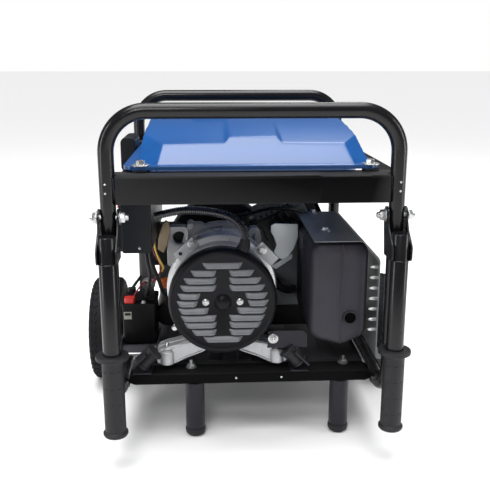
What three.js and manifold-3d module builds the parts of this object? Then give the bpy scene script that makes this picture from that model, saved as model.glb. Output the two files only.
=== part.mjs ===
// Open-frame portable generator: tube frame, stamped fuel tank, alternator, engine, muffler,
// control box, battery, two wheels, two rubber feet and two folding lift handles.
// Millimetres. X to the right seen from the alternator end, +Y away from it, +Z up,
// origin on the ground under the middle of the machine.
import * as THREE from 'three';
import { mergeVertices } from 'three/addons/utils/BufferGeometryUtils.js';
import Module from 'manifold-3d';

const wasm = await Module();
wasm.setup();

// ---- driving dimensions -------------------------------------------------
const TUBE_R = 14;            // frame tube radius
const LEG_X = 256;            // leg centre line
const NEAR_Y = -286;          // near hoop plane
const FAR_Y = 340;            // far hoop plane
const TOP_Z = 652;            // hoop top centre line
const TOP_BEND = 72;          // bend radius at the top corners
const BASE_Z = 114;           // bottom tube centre line
const BASE_BEND = 75;         // bend radius into the bottom tubes
const STUB = 4;               // straight end after the bottom bend
const GAP = 0.35;             // clearance between neighbouring solids
const AXIS_X = -55;           // crank and rotor axis
const AXIS_Z = 284;
const CYL_TILT = 25;          // cylinder angle above horizontal, degrees
const WHEEL_X = 318;          // wheel centre
const WHEEL_Y = 97;
const WHEEL_R = 119;
const WHEEL_W = 74;
const AXLE_R = 7.5;
const PIVOT_Z = 467;          // handle pivot height
const HANDLE_Y = -324;        // hanging handle tube
const HANDLE_R = 16;
const HANDLE_TOP = 442;
const FOOT_X = [-112, 179];
const FOOT_Y = -206;
const SHEET = 3;              // sheet thickness of pressed parts
const DECK_Z = 541;           // top of the tank crossmembers
const MEMBER_LOW = 491;       // bottom edge of the tank crossmembers
const TANK_TOP = 620;         // highest face of the tank
const TANK_WALL = 2.6;
const HOLE_R = 6.3;           // pivot bolt hole
const CROSS_X = 241;          // half length of the crossmembers

// ---- colours --------------------------------------------------------------
const paint = (color, roughness, metalness) =>
  new THREE.MeshStandardMaterial({ color, roughness, metalness });
const FRAME_BLACK = paint(0x16171a, 0.35, 0.2);
const TANK_BLUE = paint(0x1c4fa8, 0.28, 0.1);
const ALLOY = paint(0xb9bcc0, 0.35, 0.9);
const ENGINE_BLACK = paint(0x1c1d20, 0.55, 0.3);
const DARK_GREY = paint(0x3a3d42, 0.5, 0.4);
const RUBBER = paint(0x111112, 0.85, 0);
const ZINC = paint(0xc6c8c4, 0.3, 1);
const RIM = paint(0x24262a, 0.4, 0.3);
const PLASTIC = paint(0x18191b, 0.5, 0);
const ORANGE = paint(0xd4622a, 0.5, 0);
const GREY = paint(0x8d9094, 0.5, 0.3);

// ---- solids ----------------------------------------------------------------
// A closed three.js geometry becomes a solid; zero-area triangles are dropped.
function solid(geometry) {
  const g = geometry.clone();
  g.deleteAttribute('normal');
  g.deleteAttribute('uv');
  const m = mergeVertices(g, 1e-4);
  const p = m.attributes.position.array;
  const idx = m.index.array;
  const tris = [];
  for (let i = 0; i < idx.length; i += 3) {
    const [a, b, c] = [idx[i], idx[i + 1], idx[i + 2]];
    if (a !== b && b !== c && a !== c) tris.push(a, b, c);
  }
  let vol = 0;
  for (let i = 0; i < tris.length; i += 3) {
    const [a, b, c] = [tris[i] * 3, tris[i + 1] * 3, tris[i + 2] * 3];
    vol += p[a] * (p[b + 1] * p[c + 2] - p[b + 2] * p[c + 1])
      - p[a + 1] * (p[b] * p[c + 2] - p[b + 2] * p[c])
      + p[a + 2] * (p[b] * p[c + 1] - p[b + 1] * p[c]);
  }
  if (vol < 0) for (let i = 0; i < tris.length; i += 3) [tris[i], tris[i + 1]] = [tris[i + 1], tris[i]];
  return new wasm.Manifold(new wasm.Mesh({
    numProp: 3, vertProperties: new Float32Array(p), triVerts: new Uint32Array(tris),
  }));
}

function geometryOf(body) {
  const m = body.getMesh();
  const g = new THREE.BufferGeometry();
  g.setAttribute('position', new THREE.BufferAttribute(new Float32Array(m.vertProperties), 3));
  g.setIndex(new THREE.BufferAttribute(new Uint32Array(m.triVerts), 1));
  g.computeVertexNormals();
  return g;
}

const join = (...bodies) => bodies.flat().reduce((a, b) => a.add(b));
const cut = (body, ...tools) => tools.flat().reduce((a, b) => a.subtract(b), body);

function box(x0, x1, y0, y1, z0, z1) {
  const g = new THREE.BoxGeometry(x1 - x0, y1 - y0, z1 - z0);
  g.translate((x0 + x1) / 2, (y0 + y1) / 2, (z0 + z1) / 2);
  return solid(g);
}

// Cylinder between two points given as [x, y, z].
function rod(p, q, r, seg = 16, r2 = r) {
  const a = new THREE.Vector3(...p);
  const b = new THREE.Vector3(...q);
  const d = b.clone().sub(a);
  const g = new THREE.CylinderGeometry(r2, r, d.length(), seg);
  g.applyQuaternion(new THREE.Quaternion().setFromUnitVectors(
    new THREE.Vector3(0, 1, 0), d.clone().normalize()));
  g.translate(...a.add(b).multiplyScalar(0.5).toArray());
  return solid(g);
}

const rodX = (x0, x1, y, z, r, seg) => rod([x0, y, z], [x1, y, z], r, seg);
const rodY = (y0, y1, x, z, r, seg) => rod([x, y0, z], [x, y1, z], r, seg);
const rodZ = (z0, z1, x, y, r, seg) => rod([x, y, z0], [x, y, z1], r, seg);

// Turned part: profile of [radius, height] pairs about an axis through [x, y, z].
function turned(profile, axis, at, seg = 32) {
  const pts = profile.map(([r, h]) => new THREE.Vector2(r, h));
  if (pts[0].x > 0) pts.push(pts[0].clone());
  const g = new THREE.LatheGeometry(pts, seg);
  if (axis === 'x') g.rotateZ(-Math.PI / 2);
  if (axis === 'z') g.rotateX(Math.PI / 2);
  g.translate(...at);
  return solid(g);
}

const shapeOf = (points) => new THREE.Shape(points.map(([a, b]) => new THREE.Vector2(a, b)));

// Flat outline extruded between two stations of the third axis.
function slabZ(points, z0, z1) {
  const g = new THREE.ExtrudeGeometry(shapeOf(points), { depth: z1 - z0, bevelEnabled: false });
  g.translate(0, 0, z0);
  return solid(g);
}

function slabY(points, y0, y1) {
  const g = new THREE.ExtrudeGeometry(shapeOf(points), { depth: y1 - y0, bevelEnabled: false });
  g.rotateX(Math.PI / 2);
  g.translate(0, y1, 0);
  return solid(g);
}

function slabX(points, x0, x1) {
  const g = new THREE.ExtrudeGeometry(shapeOf(points), { depth: x1 - x0, bevelEnabled: false });
  g.rotateY(Math.PI / 2);
  g.rotateX(Math.PI / 2);
  g.translate(x0, 0, 0);
  return solid(g);
}

// Rounded rectangle outline.
function rounded(x0, x1, y0, y1, r, n = 4) {
  const out = [];
  const corners = [[x1 - r, y1 - r, 0], [x0 + r, y1 - r, 90], [x0 + r, y0 + r, 180], [x1 - r, y0 + r, 270]];
  for (const [cx, cy, start] of corners) {
    for (let i = 0; i <= n; i++) {
      const a = THREE.MathUtils.degToRad(start + 90 * i / n);
      out.push([cx + r * Math.cos(a), cy + r * Math.sin(a)]);
    }
  }
  return out;
}

// Centre line made of given points, with a mitred section at each of them.
class PointPath extends THREE.Curve {
  constructor(points) { super(); this.points = points.map((p) => new THREE.Vector3(...p)); }
  getUtoTmapping(u) { return u; }
  getPoint(t, target = new THREE.Vector3()) {
    const s = t * (this.points.length - 1);
    const i = Math.min(Math.floor(s), this.points.length - 2);
    return target.copy(this.points[i]).lerp(this.points[i + 1], s - i);
  }
  getTangent(t, target = new THREE.Vector3()) {
    const n = this.points.length - 1;
    const i = Math.round(t * n);
    target.set(0, 0, 0);
    if (i > 0) target.add(this.points[i].clone().sub(this.points[i - 1]).normalize());
    if (i < n) target.add(this.points[i + 1].clone().sub(this.points[i]).normalize());
    return target.normalize();
  }
}

function pipe(points, r, seg = 10) {
  const ring = [];
  for (let i = 0; i < seg; i++) {
    const a = 2 * Math.PI * (i + 0.5) / seg;
    ring.push([r * Math.cos(a), r * Math.sin(a)]);
  }
  return solid(new THREE.ExtrudeGeometry(shapeOf(ring), {
    steps: points.length - 1, extrudePath: new PointPath(points),
  }));
}

// Points of a quarter bend from p to q round centre c.
function bend(p, q, c, n = 5) {
  const centre = new THREE.Vector3(...c);
  const u = new THREE.Vector3(...p).sub(centre);
  const v = new THREE.Vector3(...q).sub(centre);
  const out = [];
  for (let i = 0; i <= n; i++) {
    const a = Math.PI / 2 * i / n;
    out.push(centre.clone().addScaledVector(u, Math.cos(a)).addScaledVector(v, Math.sin(a)).toArray());
  }
  return out;
}

const object = new THREE.Group();
function add(name, body, material) {
  const mesh = new THREE.Mesh(geometryOf(body), material);
  mesh.name = name;
  object.add(mesh);
}

// ---- frame ----------------------------------------------------------------
function hoop(y, dir) {
  const x = LEG_X, b = BASE_BEND, t = TOP_BEND;
  const side = [
    [x, y + dir * (b + STUB), BASE_Z],
    ...bend([x, y + dir * b, BASE_Z], [x, y, BASE_Z + b], [x, y + dir * b, BASE_Z + b], 4),
    ...bend([x, y, TOP_Z - t], [x - t, y, TOP_Z], [x - t, y, TOP_Z - t], 4),
  ];
  const other = side.map(([px, py, pz]) => [-px, py, pz]).reverse();
  return pipe([...side, ...other], TUBE_R);
}
const pivotHoles = [-LEG_X, LEG_X].map((x) => rodX(x - 20, x + 20, NEAR_Y, PIVOT_Z, HOLE_R, 12));
add('front_hoop', cut(hoop(NEAR_Y, 1), pivotHoles), FRAME_BLACK);
add('rear_hoop', hoop(FAR_Y, -1), FRAME_BLACK);
for (const [name, s] of [['left', -1], ['right', 1]]) {
  const tube = pipe([[s * LEG_X, NEAR_Y + BASE_BEND + STUB + GAP, BASE_Z],
    [s * LEG_X, FAR_Y - BASE_BEND - STUB - GAP, BASE_Z]], TUBE_R);
  const axleHole = rodX(s * LEG_X - 20, s * LEG_X + 20, WHEEL_Y, WHEEL_R, AXLE_R + 0.4, 12);
  add(`${name}_bottom_tube`, cut(tube, axleHole), FRAME_BLACK);
}

// Crossmembers under the tank: pressed channel with a wide top flange.
function crossmember(face, dir) {
  const depth = 62;
  const span = (d0, d1) => [face + dir * d0, face + dir * d1].sort((p, q) => p - q);
  const topFlange = [DECK_Z - SHEET, DECK_Z];
  return join(
    box(-CROSS_X, CROSS_X, ...span(0, SHEET), MEMBER_LOW, DECK_Z),
    box(-CROSS_X, CROSS_X, ...span(0, depth), ...topFlange),
    box(-CROSS_X, CROSS_X, ...span(0, 20), MEMBER_LOW, MEMBER_LOW + SHEET),
    box(-268, 268, ...span(26.6, depth), ...topFlange),
  );
}
const recess = box(123, 203, -300, -288, DECK_Z - 1.6, DECK_Z + 4);
add('front_tank_crossmember', cut(crossmember(-298, 1), recess), FRAME_BLACK);
add('rear_tank_crossmember', crossmember(352, -1), FRAME_BLACK);

// Side rails: a flat top flange with one folded lip.
function sideRail(x0, x1, lipX) {
  const y = [-236 + GAP, 290 - GAP];
  return join(box(x0, x1, ...y, DECK_Z - SHEET, DECK_Z), box(lipX, lipX + SHEET, ...y, 505, DECK_Z));
}
add('left_upper_rail', sideRail(-236, -208, -211), FRAME_BLACK);
add('right_upper_rail', sideRail(228, 268, 265), FRAME_BLACK);

// Base rails: channels open downwards, welded between the bottom tubes.
function baseRail(y0, y1) {
  const outline = [[-241.4, 119], [-233, 119], [-228, 116], [228, 116], [233, 119], [241.4, 119],
    [241.4, 133], [233, 135], [228, 138], [-228, 138], [-233, 135], [-241.4, 133]];
  return cut(slabY(outline, y0, y1), box(-225, 225, y0 + SHEET, y1 - SHEET, 110, 138 - SHEET));
}
add('front_base_rail', baseRail(-223, -175), FRAME_BLACK);
add('rear_base_rail', baseRail(126, 174), FRAME_BLACK);
add('base_pan', join(box(-232, 232, -174.6, 125.6, 129, 132),
  box(-232, -229, -174.6, 125.6, 129, 142), box(229, 232, -174.6, 125.6, 129, 142)), DARK_GREY);
['left', 'right'].forEach((name, i) => {
  const at = [FOOT_X[i], FOOT_Y, 0];
  add(`${name}_foot_post`, turned([[0, 17.3], [17.5, 17.3], [19, 21], [19, 109], [16, 112],
    [16, 115.65], [0, 115.65]], 'z', at, 14), RUBBER);
  add(`${name}_foot_tip`, turned([[0, 0], [13, 0], [18.5, 4], [20.5, 10], [20.5, 15], [19, 17],
    [0, 17]], 'z', at, 14), RUBBER);
});

// ---- fuel tank ---------------------------------------------------------------
const TANK_X = 233, TANK_Y0 = -252, TANK_Y1 = 300;   // flange outline
const SEAM_Z = 549;                                   // where the two pressings meet
const CAP = [-77, 60];
const GAUGE = [104, 60];
const NECK_R = 25;
const everything = (z0, z1) => box(-300, 300, -300, 330, z0, z1);

// Upper pressing, set in by d: front slope, rising top, steep sides and cut-off corners.
function tankTop(d) {
  const top = TANK_TOP - d;
  const front = [[-211 + d, 540], [-211 + d, 556], [-204 + d, top - 12], [-192 + d, top], [188 - d, top],
    [199 - d, top - 12], [220 - d, 556], [220 - d, 540]];
  const side = [[-237 + d, 540], [-237 + d, 551], [-200 + d, 583 - d], [0, 617 - d], [30, top],
    [214 - d, top], [284 - d, 551], [284 - d, 540]];
  const corner = 36;
  const plan = [[-209 + d, -237 + corner], [-209 + corner, -237 + d], [220 - corner, -237 + d],
    [220 - d, -237 + corner], [220 - d, 284 - corner], [220 - corner, 284 - d],
    [-209 + corner, 284 - d], [-209 + d, 284 - corner]];
  return slabY(front, -260, 310)
    .intersect(slabX(side, -240, 240))
    .intersect(slabZ(plan, 539, TANK_TOP + 10));
}

// Lower pressing: a deep middle well with sloping sides.
function tankBottom(d) {
  const low = 472 + d;
  const front = [[-205 + d, 560], [-205 + d, 548], [-180 + d, 505], [-140, 480 + d], [-110, low],
    [69, low], [110, 480 + d], [180 - d, 505], [207 - d, 548], [207 - d, 560]];
  const side = [[-226 + d, 560], [-226 + d, 548], [-205 + d, 492], [-170, low], [210, low],
    [252 - d, 492], [274 - d, 548], [274 - d, 560]];
  return slabY(front, -250, 300).intersect(slabX(side, -240, 240));
}
const flange = (z0, z1) => slabZ(rounded(-TANK_X, TANK_X, TANK_Y0, TANK_Y1, 26, 3), z0, z1);

function upperShell() {
  const skin = cut(tankTop(0), everything(500, SEAM_Z));
  const neck = rodZ(TANK_TOP - 15, TANK_TOP + 12, ...CAP, NECK_R, 18);
  const bore = rodZ(560, TANK_TOP + 20, ...CAP, NECK_R - 4, 18);
  const senderHole = rodZ(560, TANK_TOP + 20, ...GAUGE, 15, 16);
  return cut(join(skin, flange(SEAM_Z, SEAM_Z + 3), neck), tankTop(TANK_WALL), bore, senderHole);
}
add('tank_upper_shell', upperShell(), TANK_BLUE);

const TAP_Z = 458;
function lowerShell() {
  const skin = cut(tankBottom(0), everything(SEAM_Z - 0.4, 570));
  const tap = join(rodZ(TAP_Z - 10, 474, -60, 150, 10, 16), rodX(-72, -40, 150, TAP_Z, 7, 12));
  return join(cut(join(skin, flange(SEAM_Z - 3.4, SEAM_Z - 0.4)), tankBottom(TANK_WALL)), tap);
}
add('tank_lower_shell', lowerShell(), TANK_BLUE);

const capProfile = [[0, 28], [20, 28], [33, 25], [36, 20], [36, 1.5], [26, 1.5], [26, 12.5], [0, 12.5]];
const gaugeProfile = [[0, 12], [14, 12], [19.5, 9], [19.5, 0.4], [14.4, 0.4], [14.4, -15], [0, -15]];
add('fuel_cap', turned(capProfile, 'z', [...CAP, TANK_TOP], 18), PLASTIC);
add('fuel_gauge', turned(gaugeProfile, 'z', [...GAUGE, TANK_TOP], 16), PLASTIC);
add('fuel_valve_lever', join(rodX(-39.6, -33, 150, TAP_Z, 9, 16),
  box(-38, -34, 146, 154, TAP_Z - 30, TAP_Z)), PLASTIC);

// ---- control box -----------------------------------------------------------
add('control_panel_housing', join(
  cut(slabX([[-183, 374], [150, 374], [150, 498], [-175, 498], [-183, 490]], -248, -190),
    box(-260, -193, -180, 118, 377, 495)),
  box(-270, -238, 121, 150, 374, 575), box(-270, -238, 40, 150, 501, 565), box(-262, -238, 48, 150, 560, 575),
), DARK_GREY);
const switchHole = box(-260, -240, -151, -125, 452, 484);
add('control_panel_face', cut(slabX(rounded(-181, 116, 376, 496, 8, 3), -252, -248.4), switchHole), PLASTIC);
add('engine_switch', slabY([[-259, 457], [-256, 468], [-259, 479], [-247, 479], [-245, 468],
  [-247, 457]], -149, -127), PLASTIC);
add('duplex_outlet', join(box(-254, -252.35, -92, -40, 396, 480), box(-258, -254, -82, -50, 400, 433),
  box(-258, -254, -82, -50, 443, 476)), PLASTIC);
add('twistlock_outlet', turned([[0, -252.35], [33, -252.35], [33, -256], [27, -264], [0, -264]],
  'x', [0, 30, 436], 18), PLASTIC);

// ---- battery ----------------------------------------------------------------
const BATTERY_TOP = 247;
const post = (y) => box(-255, -243, y - 6, y + 6, BATTERY_TOP, BATTERY_TOP + 14);
add('battery', join(box(-262, -193, -113, -25, 161, BATTERY_TOP),
  box(-259, -196, -110, -28, BATTERY_TOP - 2, BATTERY_TOP + 6), post(-100), post(-38)), PLASTIC);
add('battery_tray', join(box(-266, -189, -165, -20, 154, 157), box(-266, -263.5, -165, -20, 154, 172),
  box(-191.5, -189, -165, -20, 154, 164), box(-215, -205, -160, -22, 132.35, 156)), DARK_GREY);

// ---- alternator ------------------------------------------------------------
const AX = [AXIS_X, 0, AXIS_Z];
function endCover() {
  const shell = turned([[0, -221], [14, -221], [17, -224], [96, -224], [103, -220], [106, -212],
    [106, -191], [102.5, -191], [102.5, -211], [99, -217], [92, -220.5], [20, -220.5],
    [0, -217]], 'y', AX, 24);
  const dome = turned([[0, -229], [8, -228], [14, -225], [16.5, -220], [16.5, -218], [0, -218]], 'y', AX, 12);
  const rows = [[74.4, 0, 38.5], [59.5, 12, 61], [44.5, 12, 75], [30, 12, 82], [13.8, 43, 87],
    [-1.2, 48, 89], [-16, 27, 86], [-30, 12, 82], [-44.5, 12, 75], [-59.5, 12, 61], [-74.4, 0, 38.5]];
  const slots = [];
  for (const [dz, x0, x1] of rows) {
    const z = AXIS_Z + dz;
    const spans = x0 === 0 ? [[-x1, x1]] : [[-x1, -x0], [x0, x1]];
    for (const [a, b] of spans) {
      slots.push(box(AXIS_X + a + 3, AXIS_X + b - 3, -232, -213, z - 3, z + 3));
    }
  }
  return cut(join(shell, dome), slots);
}
add('end_cover', endCover(), PLASTIC);

function endBell() {
  const ring = turned([[17, -189], [60, -189], [66, -184], [98, -184], [102, -190.6], [113, -190.6],
    [113, -122], [103, -119.5], [95, -119.5], [95, -172], [60, -176], [40, -160], [17, -160]], 'y', AX, 24);
  const feet = [join(box(-176, -150, -197, -150, 150, 158), box(-170, -140, -190, -150, 158, 215)),
    join(box(36, 62, -197, -150, 150, 158), box(20, 56, -190, -150, 158, 215))];
  const ears = [rodY(-196, -140, -150, 360, 13, 16), rodY(-196, -140, 40, 360, 13, 16),
    box(-148, -128, -190, -140, 330, 366), box(18, 38, -190, -140, 330, 366)];
  const bore = turned([[0, -200], [16.6, -200], [16.6, -120], [0, -120]], 'y', AX, 24);
  const hollow = turned([[0, -158], [38, -158], [59, -174], [94, -170], [94, -100], [0, -100]], 'y', AX, 24);
  return cut(join(ring, feet, ears), hollow, bore);
}
add('end_bell', endBell(), ALLOY);
add('stator_housing', join(turned([[70, -118.8], [106, -118.8], [106, -6], [110, -6], [110, 0], [70, 0]],
  'y', AX, 24), box(-110, -96, -110, -10, 178, 215), box(-14, 0, -110, -10, 178, 215)), DARK_GREY);
add('rotor', turned([[0, -214], [10, -214], [10, -208], [16, -208], [16, -155], [36, -155], [36, -140],
  [66, -138], [66, -14], [40, -12], [40, 2], [0, 2]], 'y', AX, 20), GREY);
const MOUNT_Z = 166;
add('front_left_mount', rod([-217, -205, MOUNT_Z - 14], [-189, -205, MOUNT_Z + 14], 18, 16), RUBBER);
add('front_right_mount', rod([98, -205, MOUNT_Z - 14], [70, -205, MOUNT_Z + 14], 18, 16), RUBBER);
add('rear_left_mount', rodZ(138.35, 165.6, -140, 150, 20, 16), RUBBER);
add('rear_right_mount', rodZ(138.35, 165.6, 20, 150, 20, 16), RUBBER);

// ---- engine -----------------------------------------------------------------
const ct = Math.cos(THREE.MathUtils.degToRad(CYL_TILT));
const st = Math.sin(THREE.MathUtils.degToRad(CYL_TILT));
const uv = (u, v) => [AXIS_X + u * ct - v * st, AXIS_Z + u * st + v * ct];
const tilted = (u0, u1, v0, v1, y0, y1) => slabY([uv(u0, v0), uv(u1, v0), uv(u1, v1), uv(u0, v1)], y0, y1);
function crankcase() {
  const body = slabY([[-130, 178], [30, 178], [34, 262], [20, 300], [0, 344], [-100, 344], [-130, 320]], 3, 158);
  const foot = box(-162, 44, 20, 163, 166, 180);
  const filler = rodX(-168, -120, 60, 238, 13, 16);
  const bore = rodY(-20, 180, AXIS_X, AXIS_Z, 41.5, 24);
  const cheek = cut(rodY(20, 158, AXIS_X, AXIS_Z, 46, 24), rodY(0, 170, AXIS_X, AXIS_Z, 16.6, 24));
  return cut(join(cut(body, bore), cheek, foot, filler), rodX(-175, -140, 60, 238, 7, 12));
}
add('crankcase', crankcase(), GREY);
function cylinder() {
  const parts = [tilted(78, 206, -38, 38, 67, 143), tilted(204, 232, -52, 52, 56, 152)];
  for (let i = 0; i < 7; i++) parts.push(tilted(96 + 15 * i, 101 + 15 * i, -50, 50, 58, 150));
  return join(parts);
}
add('cylinder', cylinder(), ALLOY);
add('rocker_cover', join(tilted(232.4, 258, -42, 42, 66, 142), tilted(257, 262, -36, 36, 72, 136)), ENGINE_BLACK);
function blower() {
  const cup = turned([[60, 164], [128, 164], [130, 168], [130, 225], [126, 225], [126, 168],
    [60, 167]], 'y', AX, 24);
  return join(cup, cut(tilted(60, 208, 54, 57, 56, 222), rodY(150, 230, AXIS_X, AXIS_Z, 126.5, 24)));
}
add('blower_housing', blower(), ENGINE_BLACK);
add('recoil_cover', turned([[0, 258], [70, 258], [82, 252], [86, 234], [130, 234], [130, 225.4],
  [80, 225.4], [76, 246], [66, 252], [0, 252]], 'y', AX, 24), ENGINE_BLACK);
add('recoil_grip', join(rodY(258.4, 270, -120, 336, 7, 12), box(-140, -100, 268, 280, 329, 343)), PLASTIC);
add('flywheel', join(rodY(2.4, 218, AXIS_X, AXIS_Z, 15, 20), turned([[0, 180], [112, 180], [116, 184],
  [116, 206], [100, 208], [95, 192], [40, 192], [40, 212], [0, 212]], 'y', AX, 24)), GREY);
add('air_cleaner', join(slabY(rounded(-228, -142, 288, 364, 12, 3), 34, 146),
  box(-143, -131, 70, 110, 300, 318)), ENGINE_BLACK);
add('choke_lever', join(rodY(24, 33.6, -160, 308, 7, 12), box(-163, -157, 24, 27, 308, 340)), PLASTIC);
add('oil_dipstick', join(turned([[0, -192], [10, -192], [13, -189], [13, -168.4], [0, -168.4]], 'x',
  [0, 60, 238], 14), rodX(-170, -146, 60, 238, 6, 12)), ORANGE);

// ---- exhaust ---------------------------------------------------------------
const OUTLET_X = 192;
const OUTLET_Z = 251;
const canister = slabY(rounded(114, 227, 191, 400, 28, 4), -226, 0);
const outlet = rodY(-236, -200, OUTLET_X, OUTLET_Z, 12.5, 12);
const inlet = rod([150, -4, 335], [150, 52.5, 344.5], 14, 12);
add('muffler', cut(join(canister, outlet, inlet), rodY(-240, -210, OUTLET_X, OUTLET_Z, 10.5, 12)), DARK_GREY);
const shieldLine = [[118, 404], [211, 404], [244, 368], [244, 165], [262, 165], [262, 138], [264, 138],
  [264, 167], [246, 167], [246, 369], [212, 406], [118, 406]];
add('heat_shield', slabY(shieldLine, -233, 48), DARK_GREY);

// ---- conduit --------------------------------------------------------------
const CONDUIT_R = 8;
const conduitRoute = [[-185, -163, 443], [-165, -163, 448], [-134, -165, 454], [-110, -168, 455],
  [-88, -172, 454], [-60, -176, 450], [-36, -181, 442], [-20, -187, 429], [-11, -193, 411],
  [-11, -198, 395]];
add('cable_conduit', pipe(conduitRoute, CONDUIT_R, 12), PLASTIC);

// ---- wheels --------------------------------------------------------------
add('axle', rodX(-352, 352, WHEEL_Y, WHEEL_R, AXLE_R, 16), ZINC);
for (const [name, s] of [['left', -1], ['right', 1]]) {
  const at = [s * WHEEL_X, WHEEL_Y, WHEEL_R];
  const h = WHEEL_W / 2;
  add(`${name}_tyre`, turned([[64, -25], [70, -29], [96, -h], [110, -34], [WHEEL_R, -26], [WHEEL_R, 26],
    [110, 34], [96, h], [70, 29], [64, 25]], 'x', at, 28), RUBBER);
  add(`${name}_rim`, turned([[8.2, -32], [16, -32], [18, -6], [52, -6], [55, -28], [63.6, -28],
    [63.6, 28], [55, 28], [52, 6], [18, 6], [16, 32], [8.2, 32]], 'x', at, 18), RIM);
}

// ---- folding handles ----------------------------------------------------------
for (const [name, s] of [['left', -1], ['right', 1]]) {
  const x = s * LEG_X;
  const at = ([a, b]) => [NEAR_Y + a, PIVOT_Z + b];
  const outline = [];
  for (let i = 0; i <= 6; i++) {
    const a = THREE.MathUtils.degToRad(-20 + 220 * i / 6);
    outline.push(at([16 * Math.cos(a), 16 * Math.sin(a)]));
  }
  outline.push(at([-24, -22]), at([-54, -46]), at([-54, -73]), at([2, -73]));
  const hole = rodX(x - 24, x + 24, NEAR_Y, PIVOT_Z, HOLE_R, 12);
  const plate = (d) => slabX(outline, x + d - 1.5, x + d + 1.5);
  const tube = rodZ(74, HANDLE_TOP, x, HANDLE_Y, HANDLE_R, 12);
  add(`${name}_handle`, cut(join(tube, plate(-17), plate(17)), hole), FRAME_BLACK);
  const grip = turned([[0, 65], [20, 65], [23, 68], [23, 74], [19.5, 77], [19.5, 214], [30, 217],
    [30, 225], [16.4, 225], [16.4, 73.6], [0, 73.6]], 'z', [x, HANDLE_Y, 0], 16);
  add(`${name}_grip`, cut(grip, box(x - 40, x + 40, -300.5, -250, 60, 240)), RUBBER);
  add(`${name}_pivot_bolt`, join(rodX(x - 34, x + 34, NEAR_Y, PIVOT_Z, 5.6, 12),
    rodX(x + s * 19.2, x + s * 27, NEAR_Y, PIVOT_Z, 10.5, 6),
    rodX(x - s * 19.2, x - s * 28, NEAR_Y, PIVOT_Z, 10.5, 6)), ZINC);
}

export default object;
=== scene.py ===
from math import cos, exp, hypot, log, pi, radians, sin
import bpy
import bmesh
from mathutils import Vector, Matrix


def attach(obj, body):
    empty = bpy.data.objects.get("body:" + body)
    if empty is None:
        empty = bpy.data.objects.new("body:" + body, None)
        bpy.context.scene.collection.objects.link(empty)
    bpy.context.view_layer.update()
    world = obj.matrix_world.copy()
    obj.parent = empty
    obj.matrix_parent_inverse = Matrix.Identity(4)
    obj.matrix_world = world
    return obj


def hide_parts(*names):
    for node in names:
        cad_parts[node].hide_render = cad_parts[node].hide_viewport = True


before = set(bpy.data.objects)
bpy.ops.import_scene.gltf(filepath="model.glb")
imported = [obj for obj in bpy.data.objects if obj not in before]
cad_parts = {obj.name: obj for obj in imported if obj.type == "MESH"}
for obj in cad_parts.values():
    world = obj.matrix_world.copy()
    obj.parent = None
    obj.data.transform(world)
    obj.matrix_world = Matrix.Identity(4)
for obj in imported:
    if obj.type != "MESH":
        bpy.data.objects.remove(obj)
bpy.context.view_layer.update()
MM = 0.001
FRONT, BACK, UP = (0, -1, 0), (0, 1, 0), (0, 0, 1)

# ---- camera, light, floor

def link(name, data):
    """Put an object that shows `data` in the scene."""
    ob = bpy.data.objects.new(name, data)
    bpy.context.scene.collection.objects.link(ob)
    return ob


camera_data = bpy.data.cameras.new("camera")
camera_data.sensor_width = 36
camera_data.lens = 51.9
camera = link("camera", camera_data)
camera.location = (-0.080, -1.513, 0.727)
camera.rotation_euler = (radians(90 - 14.27), 0, radians(-3.0))
bpy.context.scene.camera = camera


def area(name, place, target, width, depth, power):
    """Soft rectangular light aimed at `target`."""
    light = bpy.data.lights.new(name, 'AREA')
    light.shape = 'RECTANGLE'
    light.size = width
    light.size_y = depth
    light.energy = power
    ob = link(name, light)
    ob.location = place
    ob.rotation_euler = (Vector(target) - Vector(place)).to_track_quat('-Z', 'Y').to_euler()


area("key_top", (0.0, 0.2, 2.8), (0, 0, 0.5), 2.2, 1.7, 50)
area("front_high", (-0.7, -2.9, 2.3), (0, 0, 0.4), 0.9, 0.6, 26)
area("side_right", (2.5, -0.9, 1.0), (0, 0, 0.35), 0.5, 1.8, 24)
area("side_left", (-2.5, -0.9, 1.0), (0, 0, 0.35), 0.5, 1.8, 22)
area("back", (0.8, 2.6, 3.4), (0, 0, 0.4), 1.2, 0.8, 24)
sun_data = bpy.data.lights.new("sky_fill", 'SUN')
sun_data.energy = 2.9
sun_data.angle = radians(50)
sun = link("sky_fill", sun_data)
sun.rotation_euler = (radians(12), radians(-6), 0)
world = bpy.data.worlds.new("studio")
bpy.context.scene.world = world
world.use_nodes = True
# the camera sees a white room, and the object is lit by a dim one so that its blacks stay deep
room = world.node_tree
background = room.nodes["Background"]
background.inputs["Color"].default_value = (1, 1, 1, 1)
rays = room.nodes.new("ShaderNodeLightPath")
level = room.nodes.new("ShaderNodeMapRange")
level.inputs["To Min"].default_value = 0.12
level.inputs["To Max"].default_value = 1.0
room.links.new(rays.outputs["Is Camera Ray"], level.inputs["Value"])
room.links.new(level.outputs["Result"], background.inputs["Strength"])
bpy.context.scene.view_settings.view_transform = 'Standard'


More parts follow.
